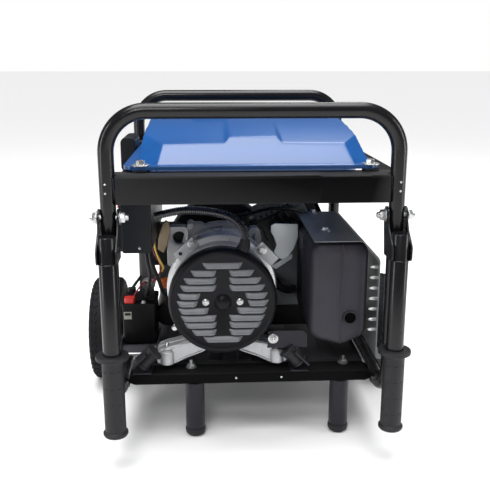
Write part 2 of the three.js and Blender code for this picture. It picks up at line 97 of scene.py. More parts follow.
# ---- materials
def shader(name, color, rough, metal=0.0, coat=0.0, coat_rough=0.1, vary=0.25, vary_scale=18.0, bump=0.05,
        bump_scale=900.0, rough_vary=0.12, spec=0.5, wear=0.0):
    """Surface with mottled colour and gloss, a fine bump and, with `wear`, paler worn edges."""
    material = bpy.data.materials.new(name)
    material.use_nodes = True
    tree = material.node_tree
    surface = tree.nodes["Principled BSDF"]
    join = tree.links.new

    def noise(scale, detail):
        made = tree.nodes.new("ShaderNodeTexNoise")
        made.inputs["Scale"].default_value = scale
        made.inputs["Detail"].default_value = detail
        join(place.outputs["Object"], made.inputs["Vector"])
        return made.outputs["Fac"]

    def remap(value, low_name, low, high_name, high):
        made = tree.nodes.new("ShaderNodeMapRange")
        made.inputs[low_name].default_value = low
        made.inputs[high_name].default_value = high
        join(value, made.inputs["Value"])
        return made.outputs["Result"]

    def tint(gain, lift=0.0):
        return (*[min(1, c * gain + lift) for c in color], 1)

    place = tree.nodes.new("ShaderNodeTexCoord")
    mottle = noise(vary_scale, 5)
    mix = tree.nodes.new("ShaderNodeMix")
    mix.data_type = 'RGBA'
    mix.inputs["A"].default_value = tint(1 - vary)
    mix.inputs["B"].default_value = tint(1 + vary)
    join(mottle, mix.inputs["Factor"])
    color_out = mix.outputs["Result"]
    if wear:
        edges = tree.nodes.new("ShaderNodeNewGeometry").outputs["Pointiness"]
        worn = tree.nodes.new("ShaderNodeMix")
        worn.data_type = 'RGBA'
        worn.inputs["B"].default_value = tint(1 + wear, 0.03 * wear)
        join(remap(edges, "From Min", 0.54, "From Max", 0.62), worn.inputs["Factor"])
        join(color_out, worn.inputs["A"])
        color_out = worn.outputs["Result"]
    join(color_out, surface.inputs["Base Color"])
    gloss = remap(mottle, "To Min", max(0.02, rough - rough_vary), "To Max", min(1, rough + rough_vary))
    join(gloss, surface.inputs["Roughness"])
    if bump:
        grain = tree.nodes.new("ShaderNodeBump")
        grain.inputs["Strength"].default_value = bump
        grain.inputs["Distance"].default_value = 0.0006
        join(noise(bump_scale, 3), grain.inputs["Height"])
        join(grain.outputs["Normal"], surface.inputs["Normal"])
    surface.inputs["Metallic"].default_value = metal
    surface.inputs["Coat Weight"].default_value = coat
    surface.inputs["Coat Roughness"].default_value = coat_rough
    surface.inputs["Specular IOR Level"].default_value = spec
    return material


M = {
    "frame": shader("frame_powder_coat", (0.006, 0.006, 0.007), 0.24, spec=0.26, coat=0.12, coat_rough=0.12,
        bump=0.12, bump_scale=1400, vary=0.2, wear=0.6),
    "panel": shader("rail_powder_coat", (0.0022, 0.0022, 0.0026), 0.36, spec=0.04, bump=0.15,
        bump_scale=1400, wear=1.2),
    "blue": shader("tank_enamel", (0.004, 0.070, 0.255), 0.34, spec=0.32, coat=0.36, coat_rough=0.12,
        vary=0.06, vary_scale=6, bump=0.02, bump_scale=220, rough_vary=0.05),
    "cover": shader("cover_satin_black", (0.006, 0.006, 0.008), 0.36, spec=0.14, bump=0.1, bump_scale=1100,
        wear=0.9),
    # the louvres' grey is painted sheen: the slats belong to the black cover and are coloured lighter so
    # they look lit
    "louvre": shader("louvre_painted_sheen", (0.16, 0.165, 0.18), 0.45, metal=0.3, bump=0.12, bump_scale=900,
        vary=0.18, vary_scale=60),
    "alloy": shader("cast_alloy", (0.47, 0.475, 0.49), 0.46, metal=0.55, bump=0.25, bump_scale=700,
        vary=0.18, vary_scale=40),
    "machined": shader("machined_alloy", (0.72, 0.725, 0.74), 0.28, metal=0.5, bump=0.03, bump_scale=900,
        vary=0.1),
    "zinc": shader("zinc_plate", (0.52, 0.53, 0.53), 0.30, metal=0.85, bump=0.02, bump_scale=1200,
        vary=0.16, vary_scale=120),
    "rubber": shader("rubber_grip", (0.012, 0.012, 0.014), 0.55, spec=0.3, bump=0.15, bump_scale=1300,
        vary=0.3),
    "post": shader("foot_tube", (0.016, 0.015, 0.021), 0.40, spec=0.22, bump=0.12, bump_scale=1200),
    "tyre": shader("tyre_rubber", (0.009, 0.009, 0.011), 0.7, spec=0.14, bump=0.3, bump_scale=700,
        vary=0.35),
    "pan": shader("base_pan_paint", (0.050, 0.050, 0.056), 0.5, spec=0.3, bump=0.15, bump_scale=800,
        wear=0.5),
    "muffler": shader("muffler_heat_paint", (0.026, 0.024, 0.033), 0.46, spec=0.32, bump=0.22,
        bump_scale=900, vary=0.35, vary_scale=25),
    "shield": shader("shield_sheet", (0.17, 0.175, 0.18), 0.36, metal=0.45, bump=0.1, bump_scale=600,
        vary=0.3, vary_scale=14, rough_vary=0.18),
    "dark": shader("dark_plastic", (0.010, 0.010, 0.012), 0.5, spec=0.25, bump=0.18, bump_scale=1200),
    # near-black, rough: painted shade for the inside of the muffler outlet
    "bore": shader("outlet_painted_shade", (0.002, 0.002, 0.002), 0.9, spec=0.02),
    "conduit": shader("conduit_plastic", (0.012, 0.011, 0.017), 0.28, spec=0.9, bump=0.05, bump_scale=1200),
    "engine": shader("engine_iron", (0.06, 0.062, 0.066), 0.5, metal=0.4, bump=0.35, bump_scale=500,
        vary=0.3),
    "black_engine": shader("engine_black", (0.014, 0.014, 0.016), 0.45, spec=0.35, bump=0.2, bump_scale=800,
        wear=0.6),
    "fin": shader("fin_grey", (0.16, 0.17, 0.175), 0.5, metal=0.4, bump=0.25, bump_scale=500, vary=0.3),
    "deflector": shader("deflector_sheet", (0.55, 0.58, 0.60), 0.38, metal=0.5, bump=0.1, vary=0.12),
    "orange": shader("orange_plastic", (0.80, 0.16, 0.035), 0.4, bump=0.08, vary=0.1),
    "tan": shader("tan_filter", (0.42, 0.33, 0.22), 0.7, bump=0.3, bump_scale=400, vary=0.2),
    "housing": shader("control_housing_paint", (0.008, 0.009, 0.012), 0.36, spec=0.18, bump=0.1),
    "red": shader("red_plastic", (0.55, 0.02, 0.015), 0.4, vary=0.1),
    "yellow": shader("yellow_wire", (0.75, 0.55, 0.08), 0.45, vary=0.1),
    "maroon": shader("maroon_wire", (0.28, 0.02, 0.04), 0.45, vary=0.1),
    "copper": shader("copper_terminal", (0.72, 0.33, 0.16), 0.35, metal=0.9, vary=0.2),
    "battery": shader("battery_case", (0.004, 0.004, 0.005), 0.40, spec=0.12, bump=0.12, bump_scale=1500),
    "label": shader("plain_label", (0.30, 0.29, 0.26), 0.5, vary=0.1),
    "steel": shader("dark_steel", (0.20, 0.20, 0.21), 0.42, metal=0.9, bump=0.2, vary=0.3),
    "floor": shader("floor", (0.94, 0.94, 0.94), 0.7, vary=0.01, bump=0.0),
}
# the record's material slot for each material, unless the piece names another; piece looks the slot up but
# gives it to nothing
SLOTS = {
    "frame_black": ("frame", "panel"),
    "tank_blue": ("blue",),
    "plastic": ("dark", "cover", "louvre", "red", "tan", "yellow", "maroon", "conduit", "battery"),
    "alloy": ("alloy", "fin", "deflector"),
    "zinc": ("zinc",),
    "steel_grey": ("machined", "pan", "housing", "muffler", "shield"),
    "rubber": ("rubber", "post"),
    "tyre": ("tyre",),
    "engine_iron": ("engine",),
    "alternator_black": ("black_engine",),
    "orange": ("orange",),
}
SLOT_OF = {key: slot for slot, keys in SLOTS.items() for key in keys}


# ---- geometry helpers (mm)
def unit(v):
    return Vector(v).normalized()


def around(n):
    """Cosine and sine of n equal steps round a circle."""
    return [(cos(2 * pi * k / n), sin(2 * pi * k / n)) for k in range(n)]


def at_each(make, places, *size):
    """The parts of one screw or bolt head at each place."""
    return [part for place in places for part in make(place, *size)]


def sweep(path, r, n=20, caps=True, closed=False):
    """Round bar along a path; `r` is one radius or one for each point."""
    points = [Vector(p) for p in path]
    m = len(points)
    radii = list(r) if hasattr(r, "__len__") else [r] * m
    tangents = []
    for i in range(m):
        t = Vector()
        if i or closed:
            t += (points[i] - points[i - 1]).normalized()
        if i < m - 1 or closed:
            t += (points[(i + 1) % m] - points[i]).normalized()
        tangents.append(t.normalized())
    up = Vector((0, 0, 1)) if abs(tangents[0].z) < 0.9 else Vector((1, 0, 0))
    u = tangents[0].cross(up).normalized()
    verts = []
    for i in range(m):
        if i:
            u = tangents[i - 1].rotation_difference(tangents[i]) @ u
            u = (u - tangents[i] * u.dot(tangents[i])).normalized()
        w = tangents[i].cross(u)
        for j in range(n):
            a = 2 * pi * j / n
            verts.append(points[i] + (u * cos(a) + w * sin(a)) * radii[i])
    faces = []
    for i in range(m if closed else m - 1):
        k = (i + 1) % m
        for j in range(n):
            faces.append((i * n + j, i * n + (j + 1) % n, k * n + (j + 1) % n, k * n + j))
    if caps and not closed:
        faces += [tuple(reversed(range(n))), tuple(range((m - 1) * n, m * n))]
    return verts, faces


def lathe(profile, axis, at, n=48, a0=0.0, a1=360.0):
    """Turn [radius, height] points round an axis; a section that starts off the axis is a ring."""
    closed = profile[0][0] > 0
    full = abs(a1 - a0) >= 359.9
    cols = n if full else n + 1
    verts, index = [], []
    ax = "xyz".index(axis)
    h = Vector([1.0 if k == ax else 0.0 for k in range(3)])
    u = Vector([1.0 if k == (ax + 1) % 3 else 0.0 for k in range(3)])
    w = h.cross(u)
    at = Vector(at)
    for r, z in profile:
        row = []
        for j in range(cols):
            if r == 0 and row:
                row.append(row[0])
                continue
            a = radians(a0 + (a1 - a0) * j / n)
            verts.append(at + h * z + (u * cos(a) + w * sin(a)) * r)
            row.append(len(verts) - 1)
        index.append(row)
    faces = []
    m = len(profile)
    for i in range(m if closed else m - 1):
        p, q = index[i], index[(i + 1) % m]
        for j in range(n):
            k = (j + 1) % cols if full else j + 1
            f = []
            for v in (p[j], p[k], q[k], q[j]):
                if v not in f:
                    f.append(v)
            if len(f) > 2:
                faces.append(tuple(f))
    return verts, faces


def mirrored(half):
    """Whole section from its outer half, in [radius, offset from the middle plane]."""
    return [(r, -z) for r, z in half] + [(r, z) for r, z in reversed(half) if z]


def prism(poly, axis, a, b):
    """Push an outline from a to b along an axis."""
    n = len(poly)
    at = "xyz".index(axis)
    verts = [Vector((*point[:at], end, *point[at:])) for end in (a, b) for point in poly]
    faces = [tuple(range(n)), tuple(reversed(range(n, 2 * n)))]
    faces += [(i, i + n, (i + 1) % n + n, (i + 1) % n) for i in range(n)]
    return verts, faces


def loft(rings, caps=True, closed=True):
    """Skin through rings that have the same number of points."""
    n = len(rings[0])
    verts = [Vector(p) for ring in rings for p in ring]
    faces = []
    for i in range(len(rings) - 1):
        for j in range(n if closed else n - 1):
            k = (j + 1) % n
            faces.append((i * n + j, i * n + k, (i + 1) * n + k, (i + 1) * n + j))
    if caps:
        faces += [tuple(reversed(range(n))), tuple(range((len(rings) - 1) * n, len(rings) * n))]
    return verts, faces


def rrect(x0, x1, y0, y1, r, n=6):
    """Rectangle with rounded corners, as an outline."""
    out = []
    for cx, cy, s in ((x1 - r, y1 - r, 0), (x0 + r, y1 - r, 90), (x0 + r, y0 + r, 180),
            (x1 - r, y0 + r, 270)):
        for i in range(n + 1):
            a = radians(s + 90 * i / n)
            out.append((cx + r * cos(a), cy + r * sin(a)))
    return out


def block(x0, x1, y0, y1, z0, z1):
    return prism([(x0, y0), (x1, y0), (x1, y1), (x0, y1)], "z", z0, z1)


def moved(part, matrix):
    return [matrix @ v for v in part[0]], part[1]


def facing(direction, at):
    """Matrix taking +Z onto `direction`, placed at `at`."""
    turn = Vector(UP).rotation_difference(unit(direction))
    return Matrix.Translation(Vector(at)) @ turn.to_matrix().to_4x4()


def arc(p, q, c, n=16):
    """Quarter turn from p to q round c."""
    c = Vector(c)
    u, v = Vector(p) - c, Vector(q) - c
    return [c + u * cos(pi / 2 * i / n) + v * sin(pi / 2 * i / n) for i in range(n + 1)]


def smooth_path(points, per=8):
    """Catmull-Rom through the points."""
    P = [Vector(p) for p in points]
    P = [2 * P[0] - P[1]] + P + [2 * P[-1] - P[-2]]
    out = []
    for i in range(1, len(P) - 2):
        for k in range(per):
            t = k / per
            a, b, c, d = P[i - 1], P[i], P[i + 1], P[i + 2]
            out.append(0.5 * ((2 * b) + (c - a) * t + (2 * a - 5 * b + 4 * c - d) * t * t
                + (3 * b - a - 3 * c + d) * t ** 3))
    out.append(P[-2])
    return out


def hexhead(at, direction, r=8, h=6, washer=0, stud=0, stud_r=3.5, washer_h=1.6):
    """Hexagon head or nut with chamfered corners, an optional washer below and a stud above."""
    parts = []
    z0 = 0
    if washer:
        parts.append(lathe([(0, 0), (washer - 0.5, 0), (washer, 0.4), (washer, washer_h - 0.4),
            (washer - 0.6, washer_h), (0, washer_h)], "z", (0, 0, 0), 32))
        z0 = washer_h
    rings = []
    for radius, z in ((r, z0), (r, z0 + h * 0.82), (r * 0.93, z0 + h)):
        rings.append([(radius * cos(pi / 3 * k + 0.3), radius * sin(pi / 3 * k + 0.3), z)
            for k in range(6)])
    parts.append(loft(rings))
    parts.append(lathe([(0, z0 + h - 0.2), (r * 0.80, z0 + h - 0.2), (r * 0.78, z0 + h + 0.5),
        (0, z0 + h + 0.6)], "z", (0, 0, 0), 24))
    if stud:
        prof = [(0, z0 + h)]
        z = z0 + h
        while z < z0 + h + stud:
            prof += [(stud_r, z), (stud_r - 0.5, z + 0.5)]
            z += 1.0
        prof += [(stud_r - 0.8, z), (0, z)]
        parts.append(lathe(prof, "z", (0, 0, 0), 16))
    m = facing(direction, at)
    return [moved(p, m) for p in parts]


def panhead(at, direction, r=4, h=2.6):
    """Low round screw head with a recess in it."""
    head = lathe([(0, 0), (r, 0), (r * 0.97, h * 0.45), (r * 0.75, h * 0.85), (r * 0.42, h),
        (r * 0.36, h * 0.45), (0, h * 0.40)], "z", (0, 0, 0), 24)
    return [moved(head, facing(direction, at))]


def piece(name, parts, mat, body="frame", rep=None, slot=None, angle=38, bevel=0.0, seg=2):
    """Make one object from parts; `mat` is a material key, or parts is a dict of key to parts."""
    groups = parts if isinstance(parts, dict) else {mat: parts}
    mesh = bpy.data.meshes.new(name)
    verts, faces, material_of = [], [], []
    for number, (key, group) in enumerate(groups.items()):
        if isinstance(group, tuple):
            group = [group]
        for p in group:
            base = len(verts)
            verts += [Vector(v) * MM for v in p[0]]
            faces += [tuple(i + base for i in f) for f in p[1]]
            material_of += [number] * len(p[1])
    mesh.from_pydata([tuple(v) for v in verts], [], faces)
    for key in groups:
        mesh.materials.append(M[key])
    mesh.polygons.foreach_set("material_index", material_of)
    bm = bmesh.new()
    bm.from_mesh(mesh)
    bmesh.ops.recalc_face_normals(bm, faces=bm.faces)
    bm.to_mesh(mesh)
    bm.free()
    ob = link(name, mesh)
    mesh.polygons.foreach_set("use_smooth", [True] * len(mesh.polygons))
    if bevel:
        rounding = ob.modifiers.new("bevel", 'BEVEL')
        rounding.width = bevel * MM
        rounding.segments = seg
        rounding.limit_method = 'ANGLE'
        rounding.angle_limit = radians(35)
    mesh.set_sharp_from_angle(angle=radians(angle))
    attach(ob, body)
    if rep:
        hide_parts(rep)
    slot or SLOT_OF[next(iter(groups))]
    return ob


def skin(node, key):
    """Give a CAD node a finished material."""
    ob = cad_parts[node]
    ob.data.materials.clear()
    ob.data.materials.append(M[key])


# ---- frame tubes
LEG_X, NEAR_Y, FAR_Y, TOP_Z, BASE_Z = 256, -286, 340, 652, 114
TOP_BEND, BASE_BEND, TUBE_R = 72, 75, 14


def hoop_path(y, d):
    """Hoop with bent shoulders and feet that run on along `d`."""
    x, b, t = LEG_X, BASE_BEND, TOP_BEND
    side = [Vector((x, y + d * (b + 4), BASE_Z))]
    side += arc((x, y + d * b, BASE_Z), (x, y, BASE_Z + b), (x, y + d * b, BASE_Z + b))
    side += arc((x, y, TOP_Z - t), (x - t, y, TOP_Z), (x - t, y, TOP_Z - t), 20)
    return side + [Vector((-p.x, p.y, p.z)) for p in reversed(side)]


def bead(center, axis, r=TUBE_R, w=3.0):
    """Uneven weld bead round a tube."""
    m = facing(axis, center)
    path = [m @ Vector(((r + 0.4) * c, (r + 0.4) * s, 0)) for c, s in around(40)]
    return sweep(path, [w * (0.8 + 0.25 * sin(i * 2.4)) for i in range(40)], 8, closed=True)


for name, y, d in (("front_hoop", NEAR_Y, 1), ("rear_hoop", FAR_Y, -1)):
    parts = [sweep(hoop_path(y, d), TUBE_R, 36)]
    for s in (-1, 1):
        parts.append(bead((s * LEG_X, y + d * 79, BASE_Z), (0, 1, 0), w=1.6))
    piece(name + "_tube", parts, "frame", rep=name)
for name, s in (("left", -1), ("right", 1)):
    piece(name + "_base_tube", [sweep([(s * LEG_X, NEAR_Y + 79.5, BASE_Z), (s * LEG_X, FAR_Y - 79.5,
        BASE_Z)], TUBE_R, 36)], "frame", rep=name + "_bottom_tube")


DECK_Z, WEB_LOW, SHEET, BEND_R, CROSS_X = 541, 491, 3, 5, 241


def folded(profile, x0, x1, notch=None):
    """Sheet profile in YZ run along X; `notch` lowers its top edge between two stations."""
    xs = [x0, x1]
    if notch:
        a, b, depth = notch
        xs = [x0, a - 6, a + 2, b - 2, b + 6, x1]
    rings = []
    for x in xs:
        low = notch and a <= x <= b
        ring = []
        for y, z, top in profile:
            ring.append((x, y + (2.0 if low and top == 2 else 0), z - (depth if low and top else 0)))
        rings.append(ring)
    return loft(rings)


def member_profile(face, d):
    """Channel: web, bent top flange, small bottom return; the third value marks the top bend."""
    turn = [(cos(pi / 2 * i / 6), sin(pi / 2 * i / 6)) for i in range(7)]
    inner_r = BEND_R - SHEET
    outer = [(0, WEB_LOW + SHEET)] + [(BEND_R - BEND_R * c, DECK_Z - BEND_R + BEND_R * s) for c, s in turn]
    inner = [(BEND_R - inner_r * c, DECK_Z - BEND_R + inner_r * s) for c, s in reversed(turn)]
    flange = [(62, DECK_Z), (62, DECK_Z - SHEET)]
    lip = [(SHEET, WEB_LOW + 5), (20, WEB_LOW + 3.01), (20, WEB_LOW), (SHEET, WEB_LOW), (0.9, WEB_LOW + 1)]
    section = outer + flange + inner + lip
    return [(face + d * dy, z, 2 if 3 <= k <= 6 else int(k == 7)) for k, (dy, z) in enumerate(section)]


def rail_profile(inner, web):
    """Angle section: a flange from `inner` outwards, bent down into a web."""
    return [(inner, DECK_Z), (web - 5, DECK_Z), (web - 1.5, DECK_Z - 1), (web, DECK_Z - 4.5), (web, 505),
        (web - SHEET, 505), (web - SHEET, 535), (web - 4.5, 537.5), (web - 7, 538), (inner, 538)]


for name, face, d, notch, y0, y1 in (("front", -298, 1, (119, 205, 2.6), -271, -236),
        ("rear", 352, -1, None, 290, 325)):
    ears = [block(x0, x1, y0, y1, DECK_Z - SHEET, DECK_Z) for x0, x1 in ((-268, -241.2), (241.2, 268))]
    piece(name + "_member", [folded(member_profile(face, d), -CROSS_X, CROSS_X, notch)] + ears, "panel",
        rep=name + "_tank_crossmember", angle=30)
for side, inner, web in (("left", -236, -208), ("right", 228, 268)):
    piece(side + "_rail", [prism(rail_profile(inner, web), "y", -235.6, 289.6)], "panel",
        rep=side + "_upper_rail", bevel=0.6)

# rivets on the hoop at crossmember height
rivets = []
for s in (-1, 1):
    for z in (528, 512):
        rivets += panhead((s * LEG_X + s * 2, NEAR_Y - 13.6, z), FRONT, 2.0, 1.2)
piece("leg_rivets", rivets, "zinc")

# ---- base rails, pan, feet
def rail_piece(name, y0, y1, node):
    prof = [(-241.4, 121), (-234, 118), (-229, 116), (229, 116), (234, 118), (241.4, 121), (241.4, 131),
        (235, 134.5), (229, 138), (-229, 138), (-235, 134.5), (-241.4, 131)]
    return piece(name, [prism(prof, "y", y0, y1)], "panel", rep=node, slot="frame_black", bevel=2.2, seg=3)


rail_piece("front_cross_rail", -223, -175, "front_base_rail")
rail_piece("rear_cross_rail", 126, 174, "rear_base_rail")
pan = [block(-231, 231, -174.4, 125.4, 129.3, 131.6)]
for s in (-1, 1):
    pan.append(block(*sorted((s * 231.8, s * 229.4)), -174.4, 125.4, 129.3, 141.6))
for i in range(7):
    x = -190 + i * 60
    pan.append(prism([(x - 16, 131.4), (x - 10, 134.2), (x + 10, 134.2), (x + 16, 131.4)], "y", -150, 100))
piece("base_tray", pan, "pan", rep="base_pan", bevel=0.8)
FOOT_X, FOOT_Y = (-112, 179), -206
for name, x in zip(("left", "right"), FOOT_X):
    piece(name + "_post", [lathe([(0, 17.4), (18.6, 17.4), (19, 18.4), (19, 113), (18.4, 115.4),
        (0, 115.6)], "z", (x, FOOT_Y, 0), 48)], "post", rep=name + "_foot_post")
    piece(name + "_tip", [lathe([(0, 0.2), (11, 0.2), (15.5, 1.2), (18.6, 4.2), (20.2, 8.5), (20.4, 14),
        (19.6, 16.6), (18.0, 17.3), (0, 17.3)], "z", (x, FOOT_Y, 0), 48)], "rubber", rep=name + "_foot_tip")
nuts = hexhead((-119, -190, 138), UP, 8, 6, 11, 8, 4) + hexhead((190, -170 - 14, 138), UP, 8, 6, 11, 8, 4)
nuts += panhead((-30, -223.2, 127), FRONT, 2.2, 1.2) + panhead((60, -223.2, 127), FRONT, 2.2, 1.2)
piece("rail_nuts", nuts, "zinc")

# ---- fuel tank
CAP, GAUGE = (-77, 60), (104, 60)
TOP = 620.6
TX0, TX1, TY0, TY1 = -233, 233, -252, 300


def step(a, b, x):
    """Smooth rise from 0 at a to 1 at b."""
    t = max(0.0, min(1.0, (x - a) / (b - a)))
    return t * t * (3 - 2 * t)


def ramp(a, b, x):
    return max(0.0, min(1.0, (x - a) / (b - a)))


def soft_min(values, k):
    """Smallest value, with the corners rounded over about k."""
    lo = min(values)
    return lo - k * log(sum(exp(-(v - lo) / k) for v in values))


def tank_height(x, y):
    """Stamped top: flat flange, bright front slope, rising panels, raised middle rib, steep sides."""
    near = (y + 237) * 0.81
    far = (284 - y) * 0.98
    left = (x + 212) * 5.0
    right = (221 - x) * 2.9
    c1 = (x + y + 409) * 0.66
    c2 = (-x + y + 426) * 0.62
    c3 = (x - y + 209 + 284 - 34) * 0.80
    c4 = (-x - y + 220 + 284 - 34) * 0.80
    wall = soft_min([near, far, left, right, c1, c2, c3, c4], 0.8)
    rib = step(-50, -38, x) * (1 - step(48, 61, x))
    back = sin(ramp(-204, 30, y) * pi / 2) ** 0.92
    plateau = 30.5 + 8.5 * rib * (1 - 0.9 * back) + 36.0 * back
    plateau += 1.5 * cos(x / 225 * pi / 2)
    h = soft_min([wall, plateau], 0.6)
    h = max(0.0, h) if h > 0.6 else 0.6 * exp((h - 0.6) / 0.6) if h > -8 else 0.0
    return 552.0 + h


def tank_shell():
    nx, ny = 190, 210
    verts, faces, index = [], [], {}
    r = 26
    for i in range(nx + 1):
        for j in range(ny + 1):
            x = TX0 + (TX1 - TX0) * i / nx
            y = TY0 + (TY1 - TY0) * j / ny
            cx = min(max(x, TX0 + r), TX1 - r)
            cy = min(max(y, TY0 + r), TY1 - r)
            d = hypot(x - cx, y - cy)
            big = max(abs(x - cx), abs(y - cy))
            if d > 0 and x != cx and y != cy:
                x, y = cx + (x - cx) * big / d, cy + (y - cy) * big / d
            index[i, j] = len(verts)
            verts.append(Vector((x, y, tank_height(x, y))))
    for i in range(nx):
        for j in range(ny):
            faces.append((index[i, j], index[i + 1, j], index[i + 1, j + 1], index[i, j + 1]))
    loop = [(i, 0) for i in range(nx)] + [(nx, j) for j in range(ny)] + [(i, ny) for i in range(nx, 0,
        -1)] + [(0, j) for j in range(ny, 0, -1)]
    lip = []
    for k in loop:
        v = verts[index[k]]
        verts.append(Vector((v.x, v.y, 549.1)))
        lip.append(len(verts) - 1)
    for a in range(len(loop)):
        b = (a + 1) % len(loop)
        faces.append((index[loop[a]], index[loop[b]], lip[b], lip[a]))
    faces.append(tuple(reversed(lip)))
    return verts, faces


def lower_ring(z):
    """Outline of the lower shell at height z."""
    def span(table):
        for (z0, a0, b0), (z1, a1, b1) in zip(table, table[1:]):
            if z <= z1:
                t = (z - z0) / (z1 - z0)
                return a0 + (a1 - a0) * t, b0 + (b1 - b0) * t
        return table[-1][1:]
    across = [(472, -112, 71), (476, -128, 92), (482, -143, 118), (505, -180, 180), (546, -204, 206)]
    along = [(472, -168, 208), (478, -186, 228), (492, -205, 252), (546, -225, 273)]
    x0, x1 = span(across)
    y0, y1 = span(along)
    return [(px, py, z) for px, py in rrect(x0, x1, y0, y1, 34, 8)]


low = [loft([lower_ring(z) for z in (472.2, 473.5, 476, 482, 492, 505, 520, 535, 545.9)]),
    prism(rrect(TX0, TX1, TY0, TY1, 26, 8), "z", 545.7, 548.7)]
low.append(lathe([(0, 448.2), (9, 448.2), (10, 449.5), (10, 472.5), (0, 473)], "z", (-60, 150, 0), 28))
low.append(sweep([(-71.5, 150, 458), (-40.2, 150, 458)], 6.8, 20))
piece("tank_bottom_pressing", low, "blue", rep="tank_lower_shell", angle=32)
piece("tank_top_pressing", [tank_shell(), lathe([(21.4, -2), (24.8, -2), (24.8, 11), (23.5, 12),
    (21.4, 12)], "z", (*CAP, TOP), 48)], "blue", rep="tank_upper_shell", angle=50)

cap = [lathe([(0, 12.8), (26.2, 12.8), (26.2, 1.2), (35, 1.2), (35.6, 2.4), (35.8, 18), (34.8, 21.4),
    (31.5, 23.8), (22, 25.4), (20, 26.6), (0, 27)], "z", (*CAP, TOP), 96)]
for x, y in around(28):
    cap.append(sweep([(CAP[0] + 35.3 * x, CAP[1] + 35.3 * y, TOP + z) for z in (3, 5, 17, 19.5)],
        [0.4, 1.2, 1.2, 0.4], 8))
piece("cap_knob", cap, "dark", body="fuel_cap", rep="fuel_cap")
gauge = {
    "dark": [lathe([(0, -15), (14, -15), (14.2, 0.6), (19.2, 0.6), (19.4, 8), (18, 10.4), (15.6, 11),
        (15.2, 9.2), (0, 9.2)], "z", (*GAUGE, TOP), 64)],
    "label": [lathe([(0, 9.3), (14.8, 9.3), (14.8, 9.6), (0, 9.7)], "z", (*GAUGE, TOP), 48)],
    "red": [prism([(GAUGE[0] - 0.8, GAUGE[1] - 2), (GAUGE[0] + 0.8, GAUGE[1] - 2),
        (GAUGE[0] + 0.3, GAUGE[1] + 11), (GAUGE[0] - 0.3, GAUGE[1] + 11)], "z", TOP + 9.7, TOP + 10.1)],
}
piece("level_gauge", gauge, None, rep="fuel_gauge")
bolts = []
pads = []
for x, y in ((-201, -241), (216, -241), (-201, 289), (216, 289)):
    bolts += hexhead((x, y, 552.2), UP, 8.5, 7, 16, 0, 0, 2.2)
    bolts.append(lathe([(0, 0), (9.8, 0), (9.4, 1.6), (0, 1.6)], "z", (x, y, 554.4), 32))
    pads.append(lathe([(0, 541.3), (15, 541.3), (15.6, 543.4), (15, 545.5), (0, 545.5)], "z", (x, y, 0),
        32))
piece("tank_bolts", bolts, "zinc")
piece("tank_pads", pads, "rubber")
piece("fuel_tap_lever", [lathe([(0, -39.4), (8.4, -39.4), (9, -38.6), (9, -33.8), (8.2, -33), (0, -33)],
    "x", (0, 150, 458), 32), prism([(146.4, 454), (153.6, 454), (152.4, 430), (150, 428.2), (147.6, 430)],
    "x", -38, -34)], "red", body="fuel_valve_lever", rep="fuel_valve_lever", bevel=0.6)

# ---- alternator
AX, AZ = -55, 284
AT = (AX, 0, AZ)
cover = [lathe([(0, -219.5), (17, -219.5), (20, -220.6), (88, -220.6), (93, -221.6), (96.5, -223.2),
    (99.5, -222.4), (103, -219.2), (105.4, -214), (106, -208), (106, -191.2), (103.5, -191.2),
    (103.5, -207), (101, -214), (97, -218), (90, -218.2), (18, -218.2), (0, -217.8)], "y", AT, 128),
    lathe([(0, -228.6), (6, -228.2), (10.5, -226.6), (14, -223.6), (16.2, -220.4), (17.5, -219.2),
    (0, -219)], "y", AT, 48)]
louvres, opening_shade_strips = [], []
ROWS = [(74.4, 0, 38.5), (59.5, 12, 61), (44.5, 12, 75), (30, 12, 82), (13.8, 43, 87), (-1.2, 48, 89),
    (-16, 27, 86), (-31, 12, 82), (-45, 12, 75), (-60, 12, 61), (-74.4, 0, 38.5)]


def louvre(xa, xb, z, inner_left, inner_right):
    """Hooded slat: top edge flush with the disc, lower edge standing proud; ends taper in."""
    n = 26
    height, depth = 11.6, 5.4
    rows = []
    for k in range(9):
        t = k / 8
        row = []
        level_z = z + height / 2 - height * t
        for i in range(n + 1):
            s = i / n
            x0 = xa + (5.5 * t ** 1.3 if not inner_left else 3.0 * t ** 1.5)
            x1 = xb - (5.5 * t ** 1.3 if not inner_right else 3.0 * t ** 1.5)
            x = x0 + (x1 - x0) * s
            e = min(s, 1 - s) * (x1 - x0)
            roof = min(1.0, e / 7.0)
            roof = sin(roof * pi / 2)
            out = depth * sin(min(1, t * 1.12) * pi / 2) * roof
            if t > 0.9:
                out *= 0.93
            row.append((AX + x, -220.7 - out, AZ + level_z))
        rows.append(row)
    return loft(rows, caps=False, closed=False)


for dz, x0, x1 in ROWS:
    spans = [(-x1, x1, False, False)] if x0 == 0 else [(-x1, -x0, False, True), (x0, x1, True, False)]
    for a, b, cut_left, cut_right in spans:
        louvres.append(louvre(a, b, dz, cut_left, cut_right))
        # a dark strip under each slat is painted shade standing for the opening beneath it
        opening_shade_strips.append(block(AX + a + 4, AX + b - 4, -222.0, -220.2, AZ + dz - 5.9, AZ + dz - 4.4))
piece("cover_disc", {"cover": cover, "dark": opening_shade_strips}, None, rep="end_cover", angle=45)
# slats take the grey painted-sheen material, lighter than the black cover disc they are part of
slats = piece("cover_louvres", louvres, "louvre", slot="plastic", angle=60)
thickness = slats.modifiers.new("thick", 'SOLIDIFY')
thickness.thickness = 0.9 * MM
thickness.offset = -1
piece("cover_screws", at_each(panhead, [(AX + x, -220.7, AZ + 1) for x in (-33, 33)], FRONT, 7, 3.4),
    "zinc")

